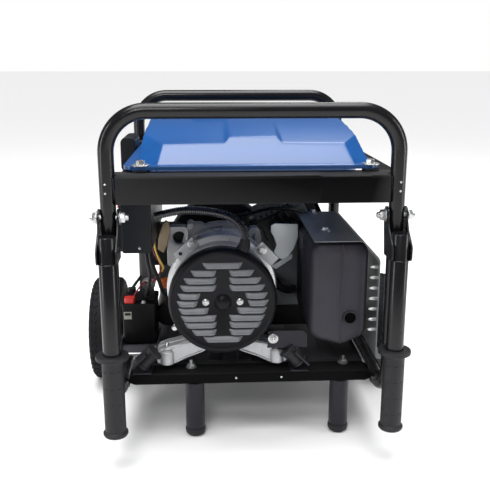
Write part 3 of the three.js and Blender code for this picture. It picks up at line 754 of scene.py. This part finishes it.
ring = [lathe([(96, -128), (110.5, -128), (112.6, -126.4), (112.6, -121.2), (96, -121.2)], "y", AT, 128),
    lathe([(96, -190.8), (104.6, -190.8), (105.4, -189), (104.6, -180), (96, -178)], "y", AT, 128)]
bell = [lathe([(17, -178), (30, -180), (60, -178), (92, -172), (95, -165), (95, -121), (100, -121),
    (100, -149), (102, -160), (95, -178), (60, -184), (17, -184)], "y", AT, 96)]
left_arm = [(-184, 148.5), (-150, 148.5), (-128, 160), (-96, 172), (-84, 180), (-84, 203), (-104, 201),
    (-130, 194), (-150, 188), (-168, 184), (-182, 178), (-187, 171), (-187, 153)]
right_arm = [(-113 - x, z) for x, z in left_arm]
arms = []
for prof in (left_arm, right_arm):
    arms.append(prism(prof, "y", -196, -176))
    arms.append(prism(prof, "y", -174, -150))
pads = [lathe([(0, 176), (13.5, 176), (14.5, 174), (14.5, 149), (13.5, 148.4), (0, 148.4)], "z",
    (x, -192, 0), 40) for x in (-166, 53)]
piece("end_bell_casting", {
    "alloy": arms + pads + bell,
    "machined": ring,
}, None, rep="end_bell", bevel=1.6, seg=3, angle=40)
ribs = []
for side, x0 in ((1, -176), (-1, 63)):
    for k in range(4):
        x = x0 + side * (22 + 15 * k)
        z = 158 + k * 5.4
        ribs.append(block(x - 1.5, x + 1.5, -198, -195.5, z, z + 24 - k))
    ribs.append(sweep([(x0 + side * 6, -197, 181), (x0 + side * 26, -197, 186),
        (x0 + side * 88, -197, 199)], 1.9, 10))
    ribs.append(sweep([(x0 + side * 6, -197, 152), (x0 + side * 26, -197, 152), (x0 + side * 48, -197, 163),
        (x0 + side * 80, -197, 175)], 1.9, 10))
piece("bell_ribs", ribs, "alloy")
piece("foot_bolts", at_each(hexhead, [(x, -192, 176) for x in (-166, 53)], UP, 7.5, 7, 12, 9, 4), "zinc")


# upper cast ear with its round window, and the lug to the right of it
EAR_X, EAR_Z, EAR_R, WINDOW_R = -146, 370, 22, 13.5
rim_out, rim_in = [], []
for k in range(40):
    a = 2 * pi * k / 40
    reach = EAR_R / max(abs(cos(a)), abs(sin(a))) if 0 < a < pi * 1.1 else EAR_R
    reach = min(reach, EAR_R * 1.22)
    rim_out.append((EAR_X + reach * cos(a), EAR_Z + reach * sin(a)))
    rim_in.append((EAR_X + 2 + WINDOW_R * cos(a), EAR_Z - 3 + WINDOW_R * sin(a)))
stations = ((-20, rim_in), (-28, rim_in), (-30, rim_out), (-4, rim_out), (-2, rim_in), (-20, rim_in))
casting = [loft([[(x, y, z) for x, z in rim] for y, rim in stations], caps=False),
    prism([(-126, 398), (-96, 398), (-88, 392), (-80, 396), (-60, 399), (-36, 398), (-12, 392), (4, 384),
    (10, 376), (2, 350), (-20, 380), (-55, 392), (-90, 384), (-118, 364), (-132, 340), (-140, 350)], "y",
    -24, -3), prism([(-168, 372), (-171, 340), (-171, 306), (-163, 300), (-150, 318), (-136, 342)], "y",
    -26, -4), lathe([(0, -40), (7, -40), (8, -38), (8, -3), (0, -3)], "y", (-119, 0, 394), 24)]
piece("bell_upper_casting", casting, "alloy", bevel=1.4, seg=3, angle=40)
# dark disc set inside the ear's round window: painted shade for the hole
window = lathe([(0, -14), (13.4, -14), (13.4, -8), (0, -8)], "y", (EAR_X + 2, 0, EAR_Z - 3), 32)
piece("ear_window_painted_shade", [window], "dark")
lug = [prism([(9, 330), (31, 346), (34, 362), (30, 380), (22, 388), (10, 388), (4, 380), (6, 362),
    (-2, 350)], "y", -30, -4), sweep([(19, -34, 374), (21, -34, 358), (15, -34, 350)], [4, 4.6, 3], 16)]
piece("bell_right_lug", lug, "alloy", bevel=2.2, seg=3)


TAB_FRONT, TAB_BACK = -133, -128.4


def tab(start, end, half_width):
    """Flat plate along a line in XZ, 8 mm longer than it at both ends."""
    p, q = Vector((start[0], start[1])), Vector((end[0], end[1]))
    d = (q - p).normalized()
    o = Vector((-d.y, d.x)) * half_width
    corners = [p - o - d * 8, p + o - d * 8, q + o + d * 8, q - o + d * 8]
    return prism([(v.x, v.y) for v in corners], "y", TAB_FRONT, TAB_BACK)


piece("bell_tabs", [tab((-139, 356), (-113, 380), 11.5), tab((24, 368), (48, 344), 12)], "alloy",
    slot="zinc", bevel=0.8)
piece("tab_bolts", at_each(hexhead, [(x, TAB_FRONT, z) for x, z in ((-114, 380), (27, 365))], FRONT, 7, 7,
    10.5), "zinc")
# thin dark disc on the tab's face: painted shade for the hole in the tab
piece("tab_hole_painted_shade", [lathe([(0, -133.4), (3.8, -133.4), (3.8, -132.6), (0, -132.6)], "y", (-138, 0, 359),
    20)], "dark")

stator = [lathe([(70, -118.6), (105, -118.6), (106, -117), (106, -8), (109, -6.4), (110, -4), (110, -0.3),
    (70, -0.3)], "y", AT, 96)]
for y, w in ((-112, 10), (-62, 5), (-14, 8)):
    stator.append(lathe([(105.6, y), (107.8, y + 0.8), (107.8, y + w - 0.8), (105.6, y + w)], "y", AT, 96))
stator.append(block(-112, -98, -112, -8, 172, 214))
stator.append(block(-12, 2, -112, -8, 172, 214))
piece("stator_core", stator, "machined", rep="stator_housing", angle=45)
skin("rotor", "steel")
skin("flywheel", "steel")

waisted = mirrored([(0, 20), (17.4, 20), (18, 19), (18, 15.5), (15.5, 13.5), (14.6, 4)])
for name, x, s in (("front_left", -203, 1), ("front_right", 84, -1)):
    leaning = facing((s, 0, 1), (x, -205, 166))
    piece(name + "_isolator", [moved(lathe(waisted, "z", (0, 0, 0), 48), leaning)], "rubber",
        rep=name + "_mount")
for name, x in (("rear_left", -140), ("rear_right", 20)):
    piece(name + "_isolator", [lathe([(0, 138.4), (19.6, 138.4), (20, 141), (17, 144), (16, 152), (17, 160),
        (20, 163), (19.6, 165.5), (0, 165.5)], "z", (x, 150, 0), 40)], "rubber", rep=name + "_mount")
brackets = [prism([(32, 184.4), (112, 184.4), (112, 212), (104, 220), (46, 220), (36, 212)], "y", -211,
    -208.4), block(34, 110, -208.4, -206.8, 186, 218), prism([(-232, 150), (-204, 178), (-207, 181),
    (-236, 152)], "y", -226, -186), prism([(113, 150), (85, 178), (88, 181), (117, 152)], "y", -226, -186),
    block(-232, -196, -224, -186, 138.4, 141), block(78, 114, -224, -186, 138.4, 141)]
piece("mount_brackets", brackets, "post", slot="frame_black", bevel=0.9)
bracket_nuts = hexhead((44, -211, 204), FRONT, 7, 5.5, 10, 5, 3.6) + hexhead((-150, -198, 226), FRONT, 5, 4,
    6)
piece("bracket_nuts", bracket_nuts, "zinc")

# ---- corrugated conduit
route = [(-185, -163, 443), (-165, -163, 448), (-134, -165, 454), (-110, -168, 455), (-88, -172, 454),
    (-60, -176, 450), (-36, -181, 442), (-20, -187, 429), (-11, -193, 411), (-11, -198, 395)]
PITCH, CREST_R, ROOT_R = 4.0, 8.3, 6.4


def resample(path, spacing):
    """Points at even steps along a path, each with its distance from the start."""
    dist = [0.0]
    for a, b in zip(path, path[1:]):
        dist.append(dist[-1] + (b - a).length)
    steps = int(dist[-1] / spacing)
    out = []
    k = 0
    for i in range(steps + 1):
        t = dist[-1] * i / steps
        while k < len(dist) - 2 and dist[k + 1] < t:
            k += 1
        f = (t - dist[k]) / max(1e-6, dist[k + 1] - dist[k])
        out.append((path[k].lerp(path[k + 1], f), t))
    return out


run = resample(smooth_path(route, 40), 0.8)
ribs = [CREST_R if (t / PITCH) % 1.0 < 0.5 else ROOT_R for _, t in run]
piece("conduit", [sweep([p for p, _ in run], ribs, 24)], "conduit", rep="cable_conduit", angle=50)
piece("conduit_boot", [sweep([(-11, -198, 404), (-11.5, -199, 396), (-13, -200, 389), (-16, -200, 383)],
    [9, 10.5, 12, 13], 24)], "dark")

# ---- control box
housing = [prism(rrect(-248, -190, 374, 498, 5, 4), "y", -183, 150),
    prism(rrect(-270, -238, 500, 575, 12, 6), "y", 40, 150), block(-269, -239, 122, 149, 380, 540)]
piece("control_box", housing, "housing", rep="control_panel_housing", bevel=1.5, seg=3)
piece("control_box_screws", panhead((-214, -183, 384), FRONT, 2.6, 1.6), "zinc")
face = [prism(rrect(-181, 116, 376, 496, 8, 6), "x", -252, -248.5)]
face.append(prism(rrect(-154, -122, 449, 487, 3, 4), "x", -253.4, -251.8))
face += [prism(rrect(-176, 111, 381, 491, 6, 6), "x", -252.6, -251.8)]
piece("panel_plate", face, "dark", rep="control_panel_face", bevel=0.5)
rocker = prism([(-259, 457.4), (-255.6, 468), (-259, 478.6), (-247, 478.8), (-245.4, 468), (-247, 457.2)],
    "y", -148.6, -127.4)
piece("rocker_switch", {"red": [rocker]}, None, body="engine_switch", rep="engine_switch", bevel=1.0, seg=3)
duplex = {
    "dark": [prism(rrect(-92, -40, 396, 480, 6, 5), "x", -254, -252.4)],
    "cover": [prism(rrect(-82, -50, 400, 433, 13, 8), "x", -258, -254),
        prism(rrect(-82, -50, 443, 476, 13, 8), "x", -258, -254)],
}
contacts = []
for z in (416, 459):
    contacts += [block(-258.3, -257.6, -73, -71, z - 1, z + 8), block(-258.3, -257.6, -61, -59, z, z + 7),
        lathe([(0, -258.3), (2.6, -258.3), (2.6, -257.6), (0, -257.6)], "x", (0, -66, z - 8), 20)]
duplex["engine"] = contacts
piece("duplex_socket", duplex, None, rep="duplex_outlet", bevel=0.4)
twist = {
    "dark": [lathe([(0, -252.4), (33, -252.4), (33, -255), (31, -256.4), (27, -257), (26, -263),
        (24.5, -264), (21, -264), (20, -261.5), (0, -261.5)], "x", (0, 30, 436), 64)],
    "engine": [lathe([(11.5, -262), (13.5, -262), (13.5, -261.3), (11.5, -261.3)], "x", (0, 30, 436), 24,
        a0=k * 90 + 10, a1=k * 90 + 60) for k in range(4)],
}
piece("twist_socket", twist, None, rep="twistlock_outlet")
screws = []
for y, z in ((-172, 386), (-172, 486), (107, 386), (107, 486), (-32, 386), (-32, 486)):
    screws += panhead((-252.6, y, z), (-1, 0, 0), 3.4, 2)
for y in (-14, 76, 96):
    screws += panhead((-252.6, y, 470), (-1, 0, 0), 5.5, 4)
piece("panel_screws", screws, "zinc")
for k, y in enumerate((76, 96)):
    piece("breaker_%d" % k, [lathe([(0, -252.5), (8, -252.5), (8.6, -255), (5, -255.4), (4.8, -261),
        (0, -261.6)], "x", (0, y, 410), 32)], "red" if k else "cover")

# ---- battery
BATTERY_TOP = 247
battery = [prism(rrect(-262, -193, -113, -25, 5, 4), "z", 161, BATTERY_TOP - 7),
    prism(rrect(-263.5, -191.5, -114.5, -23.5, 6, 4), "z", BATTERY_TOP - 7, BATTERY_TOP),
    prism(rrect(-258, -197, -100, -38, 4, 3), "z", BATTERY_TOP, BATTERY_TOP + 4)]
for y in (-88, -69, -50):
    battery.append(lathe([(0, 0), (7, 0), (7, 2), (6, 3), (0, 3)], "z", (-216, y, BATTERY_TOP + 4), 24))
for k in range(5):
    battery.append(block(-258 + 14 * k, -250 + 14 * k, -114.2, -113, 168, 184))
piece("battery_case", {
    "battery": battery,
    "label": [block(-259, -243, -113.6, -112.8, 214, 230)],
    "dark": [block(-257, -245, -113.9, -113.4, 222, 228)],
}, None, rep="battery", bevel=1.0)
terminals = {
    "red": [prism(rrect(-258, -236, -110, -90, 6, 4), "z", BATTERY_TOP, BATTERY_TOP + 11)],
    "dark": [prism(rrect(-257, -240, -46, -30, 5, 4), "z", BATTERY_TOP, BATTERY_TOP + 12)],
    "zinc": hexhead((-218, -106, BATTERY_TOP), UP, 4, 3, 6),
}
piece("battery_terminals", terminals, None, bevel=1.8, seg=3)
back = [block(-229, -202, -22, -19.4, 160, 372), block(-229, -226, -40, -19.4, 160, 200),
    block(-200, -131, 119.5, 122, 142, 288)]
piece("battery_back_plate", back, "pan", bevel=0.8)
shelf = [block(-266, -189, -165, -20, 154, 156.4), block(-266, -263.8, -165, -20, 154, 171.6),
    block(-191.2, -189, -165, -20, 154, 164), block(-215, -205, -160, -22, 132, 155)]
piece("battery_shelf", shelf, "pan", rep="battery_tray", bevel=0.8)
rod = [sweep([(-262, -163, 157), (-214, -163, 157)], 3.2, 16),
    sweep([(-214, -166, 158), (-205, -168, 162), (-190, -172, 176)], 1.2, 10)]
piece("hold_down_rod", rod, "zinc")

# ---- engine
TILT = radians(25)
COS_TILT, SIN_TILT = cos(TILT), sin(TILT)


def uv(u, v):
    """Point in XZ, from distances along and across the tilted cylinder."""
    return (AX + u * COS_TILT - v * SIN_TILT, AZ + u * SIN_TILT + v * COS_TILT)


def tilted(u0, u1, v0, v1, y0, y1, r=0.0):
    """Block along the tilted cylinder."""
    if r:
        return prism([uv(p, q) for p, q in rrect(u0, u1, v0, v1, r, 4)], "y", y0, y1)
    return prism([uv(u0, v0), uv(u1, v0), uv(u1, v1), uv(u0, v1)], "y", y0, y1)


crankcase = [prism([(-130, 182), (-124, 178), (26, 178), (32, 184), (34, 262), (20, 300), (0, 343),
    (-6, 345), (-98, 345), (-104, 343), (-130, 322)], "y", 3, 158),
    prism([(-162, 166.2), (44, 166.2), (44, 172), (36, 180), (-154, 180), (-162, 172)], "y", 20, 163)]
for k in range(5):
    crankcase.append(block(-133, -129, 20 + 28 * k, 24 + 28 * k, 190, 318))
crankcase.append(sweep([(-168, 60, 238), (-126, 60, 238)], 13, 32))
crankcase.append(lathe([(0, 2.4), (60, 2.4), (64, 4), (66, 10), (0, 10)], "y", AT, 64))
piece("engine_case", crankcase, "engine", rep="crankcase", bevel=2.0, seg=3)
cylinder = [tilted(78, 208, -38, 38, 67, 143, 8)]
for i in range(15):
    u = 92 + 7.6 * i
    cylinder.append(tilted(u, u + 2.4, -50, 50, 58, 150))
cylinder.append(tilted(205, 232, -52, 52, 56, 152, 4))
for k in range(7):
    v = -46 + 15 * k
    cylinder.append(tilted(208, 230, v, v + 3, 52, 57))
piece("finned_cylinder", cylinder, "fin", rep="cylinder", bevel=0.5, seg=1)
rocker_cover = [tilted(232.6, 252, -42, 42, 66, 142, 8), tilted(251, 261, -36, 36, 72, 136, 8)]
piece("valve_cover", rocker_cover, "black_engine", rep="rocker_cover", bevel=1.5, seg=3)
cover_bolts = []
for v, y in ((-37, 71), (37, 71), (-37, 137), (37, 137)):
    x, z = uv(252, v)
    cover_bolts += hexhead((x, y, z), (COS_TILT, 0, SIN_TILT), 5, 4, 7)
piece("valve_cover_bolts", cover_bolts, "zinc")
scroll = [lathe([(60, 164.2), (124, 164.2), (128, 165.4), (130, 169), (130, 224.8), (127, 224.8),
    (127, 169), (124, 167), (60, 167)], "y", AT, 96)]
piece("fan_housing", scroll + [tilted(90, 208, 54.2, 56.8, 56, 222)], "black_engine", rep="blower_housing",
    bevel=0.8)
# moulded air shroud over the cylinder, with ribs, seen behind the alternator
shroud = []
for k in range(9):
    u = 88 + 13.5 * k
    shroud.append(tilted(u, u + 4.2, 57.2, 66, 40, 150, 1))
shroud.append(tilted(80, 206, 57.2, 60, 30, 152))
shroud.append(tilted(82, 200, 40, 57, 28, 44, 3))
for k in range(7):
    shroud.append(tilted(88 + 16 * k, 92 + 16 * k, 10, 57, 22, 40, 1))
piece("cylinder_shroud", shroud, "black_engine", bevel=0.7)
piece("shroud_screws", at_each(hexhead, [(x, 60, z) for x, z in (uv(110, 62), uv(190, 62))],
    (-SIN_TILT, 0, COS_TILT), 5, 4, 7), "zinc")
deflector = [prism([(54, 393), (62, 397), (112, 395), (113, 366), (104, 340), (92, 322), (80, 316),
    (62, 322), (60, 334), (66, 348), (60, 366), (53, 378)], "y", -32, -29.6)]
deflector.append(prism([(58, 290), (106, 318), (106, 306), (70, 282)], "y", 10, 12))
piece("air_deflector", deflector, "deflector", bevel=0.8)
baffle = {
    "fin": [prism([(37, 190), (142, 190), (142, 352), (104, 352), (86, 318), (37, 262)], "y", 30, 32.4)],
    "dark": [block(36, 142, 26, 44, 143, 190), sweep(smooth_path([(64, 0, 262), (78, -6, 246),
        (94, -2, 238), (112, 10, 236)], 8), 9, 20)],
}
piece("engine_side_baffle", baffle, None, slot="steel_grey", bevel=1.0)
recoil = [lathe([(0, 257.6), (24, 258), (68, 258), (76, 256.6), (82, 251), (85, 240), (88, 235), (94, 234),
    (124, 234), (129, 232.6), (130, 229), (130, 225.6), (80, 225.6), (76, 246), (66, 250), (0, 250)], "y",
    AT, 96)]
for x, z in around(18):
    recoil.append(sweep([(AX + 32 * x, 258.2, AZ + 32 * z), (AX + 62 * x, 258.2, AZ + 62 * z)], 1.8, 8))
piece("recoil_housing", recoil, "black_engine", rep="recoil_cover")
pull_grip = [sweep([(-120, 258.6, 336), (-120, 269, 336)], [7, 5.5], 20),
    prism(rrect(-141, -99, 329, 343, 6.8, 8), "y", 268, 280)]
piece("pull_grip", pull_grip, "dark", body="recoil_grip", rep="recoil_grip", bevel=1.8, seg=3)
recoil_bolts = []
for k in range(3):
    a = radians(90 + 120 * k)
    recoil_bolts += hexhead((AX + 118 * cos(a), 234, AZ + 118 * sin(a)), BACK, 6, 5, 9)
piece("recoil_bolts", recoil_bolts, "zinc")
air_filter = [prism(rrect(-228, -142, 288, 364, 14, 8), "y", 34, 100),
    prism(rrect(-229.5, -140.5, 286.5, 365.5, 15, 8), "y", 100, 146),
    prism(rrect(-218, -152, 298, 354, 10, 6), "y", 145, 149.5), block(-143, -131, 70, 110, 300, 318)]
piece("air_filter_box", air_filter, "dark", rep="air_cleaner", bevel=2.0, seg=3)
piece("choke_handle", [lathe([(0, 24.2), (6.6, 24.2), (7, 26), (7, 33), (0, 33)], "y", (-160, 0, 308), 28),
    prism([(-163, 306), (-157, 306), (-156.4, 336), (-160, 339.6), (-163.6, 336)], "y", 24.2, 27)], "cover",
    body="choke_lever", rep="choke_lever", bevel=0.6)
oil_cap = [lathe([(0, -192), (9, -192), (11, -190.6), (11.6, -187), (12.6, -184), (13, -170), (11, -168.6),
    (0, -168.6)], "x", (0, 60, 238), 40), prism(rrect(56.5, 63.5, 228, 248, 3, 4), "x", -194, -188)]
for y, z in around(12):
    oil_cap.append(sweep([(-183, 60 + 12.6 * y, 238 + 12.6 * z), (-171, 60 + 12.8 * y, 238 + 12.8 * z)],
        1.1, 8))
piece("oil_filler_cap", oil_cap, "orange", body="oil_cap", rep="oil_dipstick", bevel=0.6)
# starter motor, solenoid and tan intake seen left of the alternator
starter = {
    "black_engine": [sweep([(-172, -30, 196), (-172, 118, 196)], 27, 48)],
    "dark": [lathe([(0, -38), (22, -38), (27, -34), (27.6, -30), (27.6, -20), (0, -20)], "y",
        (-172, 0, 196), 48)],
}
piece("starter_motor", starter, None)
solenoid = {
    "zinc": [sweep([(-214, -24, 262), (-214, 34, 262)], 15, 32)] + hexhead((-214, -24, 268), FRONT, 5, 4, 7,
        8, 3),
    "copper": [sweep([(-214, -34, 268), (-214, -37, 268)], 3.4, 16)],
}
piece("starter_solenoid", solenoid, None)
relay = [(-178, 336), (-170, 352), (-162, 384), (-166, 402), (-172, 406), (-180, 398), (-188, 368),
    (-190, 344)]
relay_front = [(x, -40 + 1.5 * sin(k), z) for k, (x, z) in enumerate(relay)]
piece("tan_relay_cover", [loft([relay_front, [(x, -22, z) for x, z in relay]])], "tan", bevel=2.0, seg=3)
WIRES = {
    "wire_yellow": ("yellow", 2.2, [(-196, -60, 372), (-192, -70, 350), (-184, -74, 330), (-178, -66, 312),
        (-182, -40, 296)]),
    "wire_maroon": ("maroon", 2.0, [(-206, -30, 372), (-196, -54, 340), (-184, -60, 318), (-188, -50, 292),
        (-204, -38, 272)]),
    "wire_red": ("maroon", 1.6, [(-240, -96, 256), (-232, -84, 268), (-220, -60, 278), (-214, -42, 270)]),
    "wire_black_a": ("dark", 3.2, [(-249, -38, 256), (-240, -32, 268), (-222, -10, 290), (-206, 10, 330),
        (-210, 20, 372)]),
    "wire_black_b": ("dark", 4.2, [(-200, -120, 374), (-196, -128, 340), (-184, -120, 300),
        (-176, -100, 268), (-160, -60, 240)]),
    "wire_black_c": ("dark", 3.4, [(-205, -140, 374), (-204, -146, 350), (-200, -140, 320),
        (-204, -120, 292), (-214, -100, 262)]),
    "ignition_lead": ("dark", 3.6, [(150, 46, 398), (120, 30, 412), (90, 18, 420), (50, 30, 416),
        (10, 60, 400), (-20, 120, 384)]),
}
for name, (key, r, points) in WIRES.items():
    piece(name, [sweep(smooth_path(points, 8), r, 12)], key, angle=60)

# ---- muffler and heat shield
def can(y, e):
    """Can outline drawn in by `e`: rounded top, lower edge drawn down to the seam."""
    corners = [(114 + e, 216 + e), (114 + e, 386 - e), (128 + e, 400 - e), (213 - e, 400 - e),
        (227 - e, 386 - e), (227 - e, 216 + e), (217 - e * 0.6, 206 + e), (182, 191.6 + e),
        (172, 191.6 + e), (126 + e * 0.6, 204 + e)]
    out = []
    m = len(corners)
    for i in range(m):
        p, q, w = (Vector((*corners[j % m], 0)) for j in (i - 1, i, i + 1))
        u, v = p - q, w - q
        r = min(9.0, 0.45 * min(u.length, v.length))
        u, v = u.normalized() * r, v.normalized() * r
        for k in range(5):
            t = k / 4
            c = q + u * (1 - t) ** 2 + v * t ** 2
            out.append((c.x, y, c.y))
    return out


stations = ((-225.2, 22), (-224.6, 14), (-222.6, 8), (-219, 4), (-213, 1.2), (-205, 0), (-112, 0),
    (-110, -1.4), (-106, -1.4), (-104, 0), (-14, 0.2), (-6, 2), (-1, 8))
seam = [(175, y, z) for y, z in ((-215, 193), (-222, 198), (-225, 211), (-225.6, 300), (-225, 388),
    (-219, 397))]
muffler = [loft([can(y, inset) for y, inset in stations]), sweep(seam, [1.6, 2.3, 2.3, 2.3, 2.3, 1.6], 10),
    sweep([(150, -4, 335), (150, 52, 344.5)], 13.6, 32)]
piece("muffler_can", muffler, "muffler", rep="muffler", angle=40)
OUTLET_X, OUTLET_Z = 192, 251
piece("muffler_outlet", {
    "muffler": [lathe([(11.4, -222), (14.4, -222), (14.4, -226), (13.0, -228), (12.6, -230), (11.4, -230)],
        "y", (OUTLET_X, 0, OUTLET_Z), 40)],
    # the bore disc across the outlet's mouth is painted shade of the pipe's hollow inside
    "bore": [lathe([(0, -228.6), (11.5, -228.6), (11.5, -226.6), (0, -226.6)], "y", (OUTLET_X, 0, OUTLET_Z),
        32)],
}, None)


def bent_sheet(line, t, y0, y1, r=6):
    """Sheet following a line in XZ with rounded bends."""
    points = [Vector((x, 0, z)) for x, z in line]
    path = [points[0]]
    for i in range(1, len(points) - 1):
        a, b, c = points[i - 1], points[i], points[i + 1]
        u, w = (a - b).normalized(), (c - b).normalized()
        for k in range(7):
            s = k / 6
            path.append((b + u * r * (1 - s)) * (1 - s) + (b + w * r * s) * s)
    path.append(points[-1])
    left, right = [], []
    for i, p in enumerate(path):
        d = (path[min(i + 1, len(path) - 1)] - path[max(i - 1, 0)]).normalized()
        o = Vector((-d.z, 0, d.x)) * (t / 2)
        left.append(p + o)
        right.append(p - o)
    poly = [(v.x, v.z) for v in left] + [(v.x, v.z) for v in reversed(right)]
    return prism(poly, "y", y0, y1)


piece("heat_guard", [bent_sheet([(118, 405), (211.5, 405), (245, 368.5), (245, 166), (263, 166),
    (263, 138)], 1.8, -233, 48, 7)], "shield", rep="heat_shield", bevel=0.35, seg=1, angle=25)
guard_screws = []
for y in (-144, 34):
    guard_screws += hexhead((153, y, 405.9), UP, 6.5, 5, 11)
for k in range(7):
    guard_screws += panhead((243.9, -222, 224 + 21.3 * k), (-1, 0, 0), 4.0, 15)
piece("guard_screws", guard_screws, "zinc")

# ---- axle and wheels
piece("axle_rod", [sweep([(-352, 97, 119), (352, 97, 119)], 7.4, 32)], "zinc", rep="axle")
WX, WY, WR = 318, 97, 119


def tread(x0):
    """Diamond blocks wrapped round the tyre."""
    verts, faces = [], []
    rows, n = (-21, -7, 7, 21), 40
    for ri, off in enumerate(rows):
        for k in range(n):
            a = 2 * pi * (k + 0.5 * (ri % 2)) / n
            da = 2 * pi / n * 0.40
            base = len(verts)
            for radius, shrink in ((WR - 1.6, 1.0), (WR + 0.0, 0.82)):
                for dx, dd in ((0, -da), (6.2, 0), (0, da), (-6.2, 0)):
                    aa = a + dd * shrink
                    verts.append(Vector((x0 + off + dx * shrink, WY + radius * cos(aa),
                        WR + radius * sin(aa))))
            for q in range(4):
                faces.append((base + q, base + (q + 1) % 4, base + 4 + (q + 1) % 4, base + 4 + q))
            faces.append((base + 4, base + 5, base + 6, base + 7))
            faces.append((base + 3, base + 2, base + 1, base))
    return verts, faces


BAR = ((27, 117.8, -0.04), (27, 117.8, 0.04), (34, 109.5, 0.03), (34, 109.5, -0.03))


def shoulder(x0):
    """Raised bars that run from the tread down both side walls; `up` is 1 on their outer faces."""
    bars = []
    for k in range(40):
        a = 2 * pi * k / 40
        for s in (-1, 1):
            rings = []
            for up in (0, 1):
                rings.append([(x0 + s * (x + 0.8 * up), WY + (r + up) * cos(a + da * (1 - 0.2 * up)),
                    WR + (r + up) * sin(a + da * (1 - 0.2 * up))) for x, r, da in BAR])
            bars.append(loft(rings))
    return bars


TYRE = mirrored([(63.8, 24.5), (67, 27.5), (74, 30.5), (86, 35.2), (97, 36.8), (105, 35.6), (111.5, 32.6),
    (115.5, 28.5), (117.2, 22), (117.6, 0)])
RIM = mirrored([(8, 33), (14.5, 33), (16.5, 31), (18.5, 9), (24, 6.5), (46, 6.5), (50, 9), (54, 25),
    (57, 28), (62, 29), (63.6, 27.5)])
for name, s in (("left", -1), ("right", 1)):
    x0 = s * WX
    at = (x0, WY, WR)
    grooves = [lathe([(88, side * 35.6), (89, side * 36.9), (90.5, side * 36.9), (91.5, side * 35.8)], "x",
        at, 96) for side in (-1, 1)]
    piece(name + "_tread_tyre", [lathe(TYRE, "x", at, 120), tread(x0)] + shoulder(x0) + grooves, "tyre",
        body=name + "_wheel", rep=name + "_tyre", angle=40)
    rim = [lathe(RIM, "x", at, 96)]
    for y, z in around(5):
        for side in (-1, 1):
            p0 = (x0 + side * 12, WY + 17 * y, WR + 17 * z)
            p1 = (x0 + side * 8, WY + 51 * y, WR + 51 * z)
            rim.append(sweep([p0, p1], [5.5, 4.0], 16))
    piece(name + "_wheel_rim", rim, "frame", body=name + "_wheel", rep=name + "_rim")
    piece(name + "_hub_washer", [lathe([(7.6, s * 33.2), (15, s * 33.2), (15, s * 34.4), (7.6, s * 34.4)],
        "x", at, 40)], "zinc")

# ---- folding handles
# PZ is the pivot's height, HY the handles' place along Y, and the grips are flat where they meet the hoop
PZ, HY, GRIP_BACK = 467, -324, -300.8
for name, s in (("left", -1), ("right", 1)):
    x = s * LEG_X
    tube = [lathe([(0, 74.4), (15.6, 74.4), (16, 76), (16, 440.5), (15, 442), (0, 442)], "z", (x, HY, 0),
        48)]
    outline = []
    for i in range(15):
        a = radians(-20 + 220 * i / 14)
        outline.append((NEAR_Y + 16 * cos(a), PZ + 16 * sin(a)))
    outline += [(NEAR_Y - 24, PZ - 22), (NEAR_Y - 50, PZ - 43), (NEAR_Y - 54, PZ - 49),
        (NEAR_Y - 54, PZ - 68), (NEAR_Y - 50, PZ - 73), (NEAR_Y + 2, PZ - 73)]
    plates = [prism(outline, "x", x + d - 1.4, x + d + 1.4) for d in (-17, 17)]
    plates.append(bead((x, HY, PZ - 73), (0, 0, 1), 16.2, 1.6))
    piece(name + "_handle_tube", tube + plates, "frame", body=name + "_handle", rep=name + "_handle",
        bevel=0.5, seg=2)
    grip_profile = [(0, 65.4), (17, 65.4), (21, 66.4), (22.8, 69), (22.8, 73), (21, 75.2), (19.4, 76.6)]
    z = 82
    while z < 206:
        grip_profile += [(19.5, z), (19.5, z + 3)]
        z += 8
    grip_profile += [(19.6, 212), (21, 215), (27, 216), (29.6, 217.6), (30, 221), (29.4, 224), (27, 225.2),
        (16.3, 225.2), (16.3, 73.8), (0, 73.8)]
    sleeve = lathe(grip_profile, "z", (x, HY, 0), 64)
    for v in sleeve[0]:
        v.y = min(v.y, GRIP_BACK)
    marks = []
    for level_z in (100, 132, 164, 196):
        for da in (-42, 0, 42):
            a = radians(-90 + da)
            path = [(x + 19.4 * cos(a + t), HY + 19.4 * sin(a + t), level_z) for t in (-0.22, -0.11, 0,
                0.11, 0.22)]
            marks.append(sweep(path, [0.3, 1.0, 1.1, 1.0, 0.3], 8))
    piece(name + "_hand_grip", [sleeve] + marks, "rubber", body=name + "_handle", rep=name + "_grip")
    pivot = hexhead((x + s * 19.4, NEAR_Y, PZ), (s, 0, 0), 10, 7, 12.5)
    pivot += hexhead((x - s * 19.4, NEAR_Y, PZ), (-s, 0, 0), 10, 8, 12.5, 6, 5.4)
    pivot.append(sweep([(x - 33, NEAR_Y, PZ), (x + 33, NEAR_Y, PZ)], 5.5, 20))
    piece(name + "_pivot_fastener", pivot, "zinc", rep=name + "_pivot_bolt")

# ---- floor
floor_mesh = bpy.data.meshes.new("floor")
floor_mesh.from_pydata([(-60, -8, 0), (60, -8, 0), (60, 90, 0), (-60, 90, 0)], [], [(0, 1, 2, 3)])
floor_mesh.materials.append(M["floor"])
link("floor", floor_mesh)
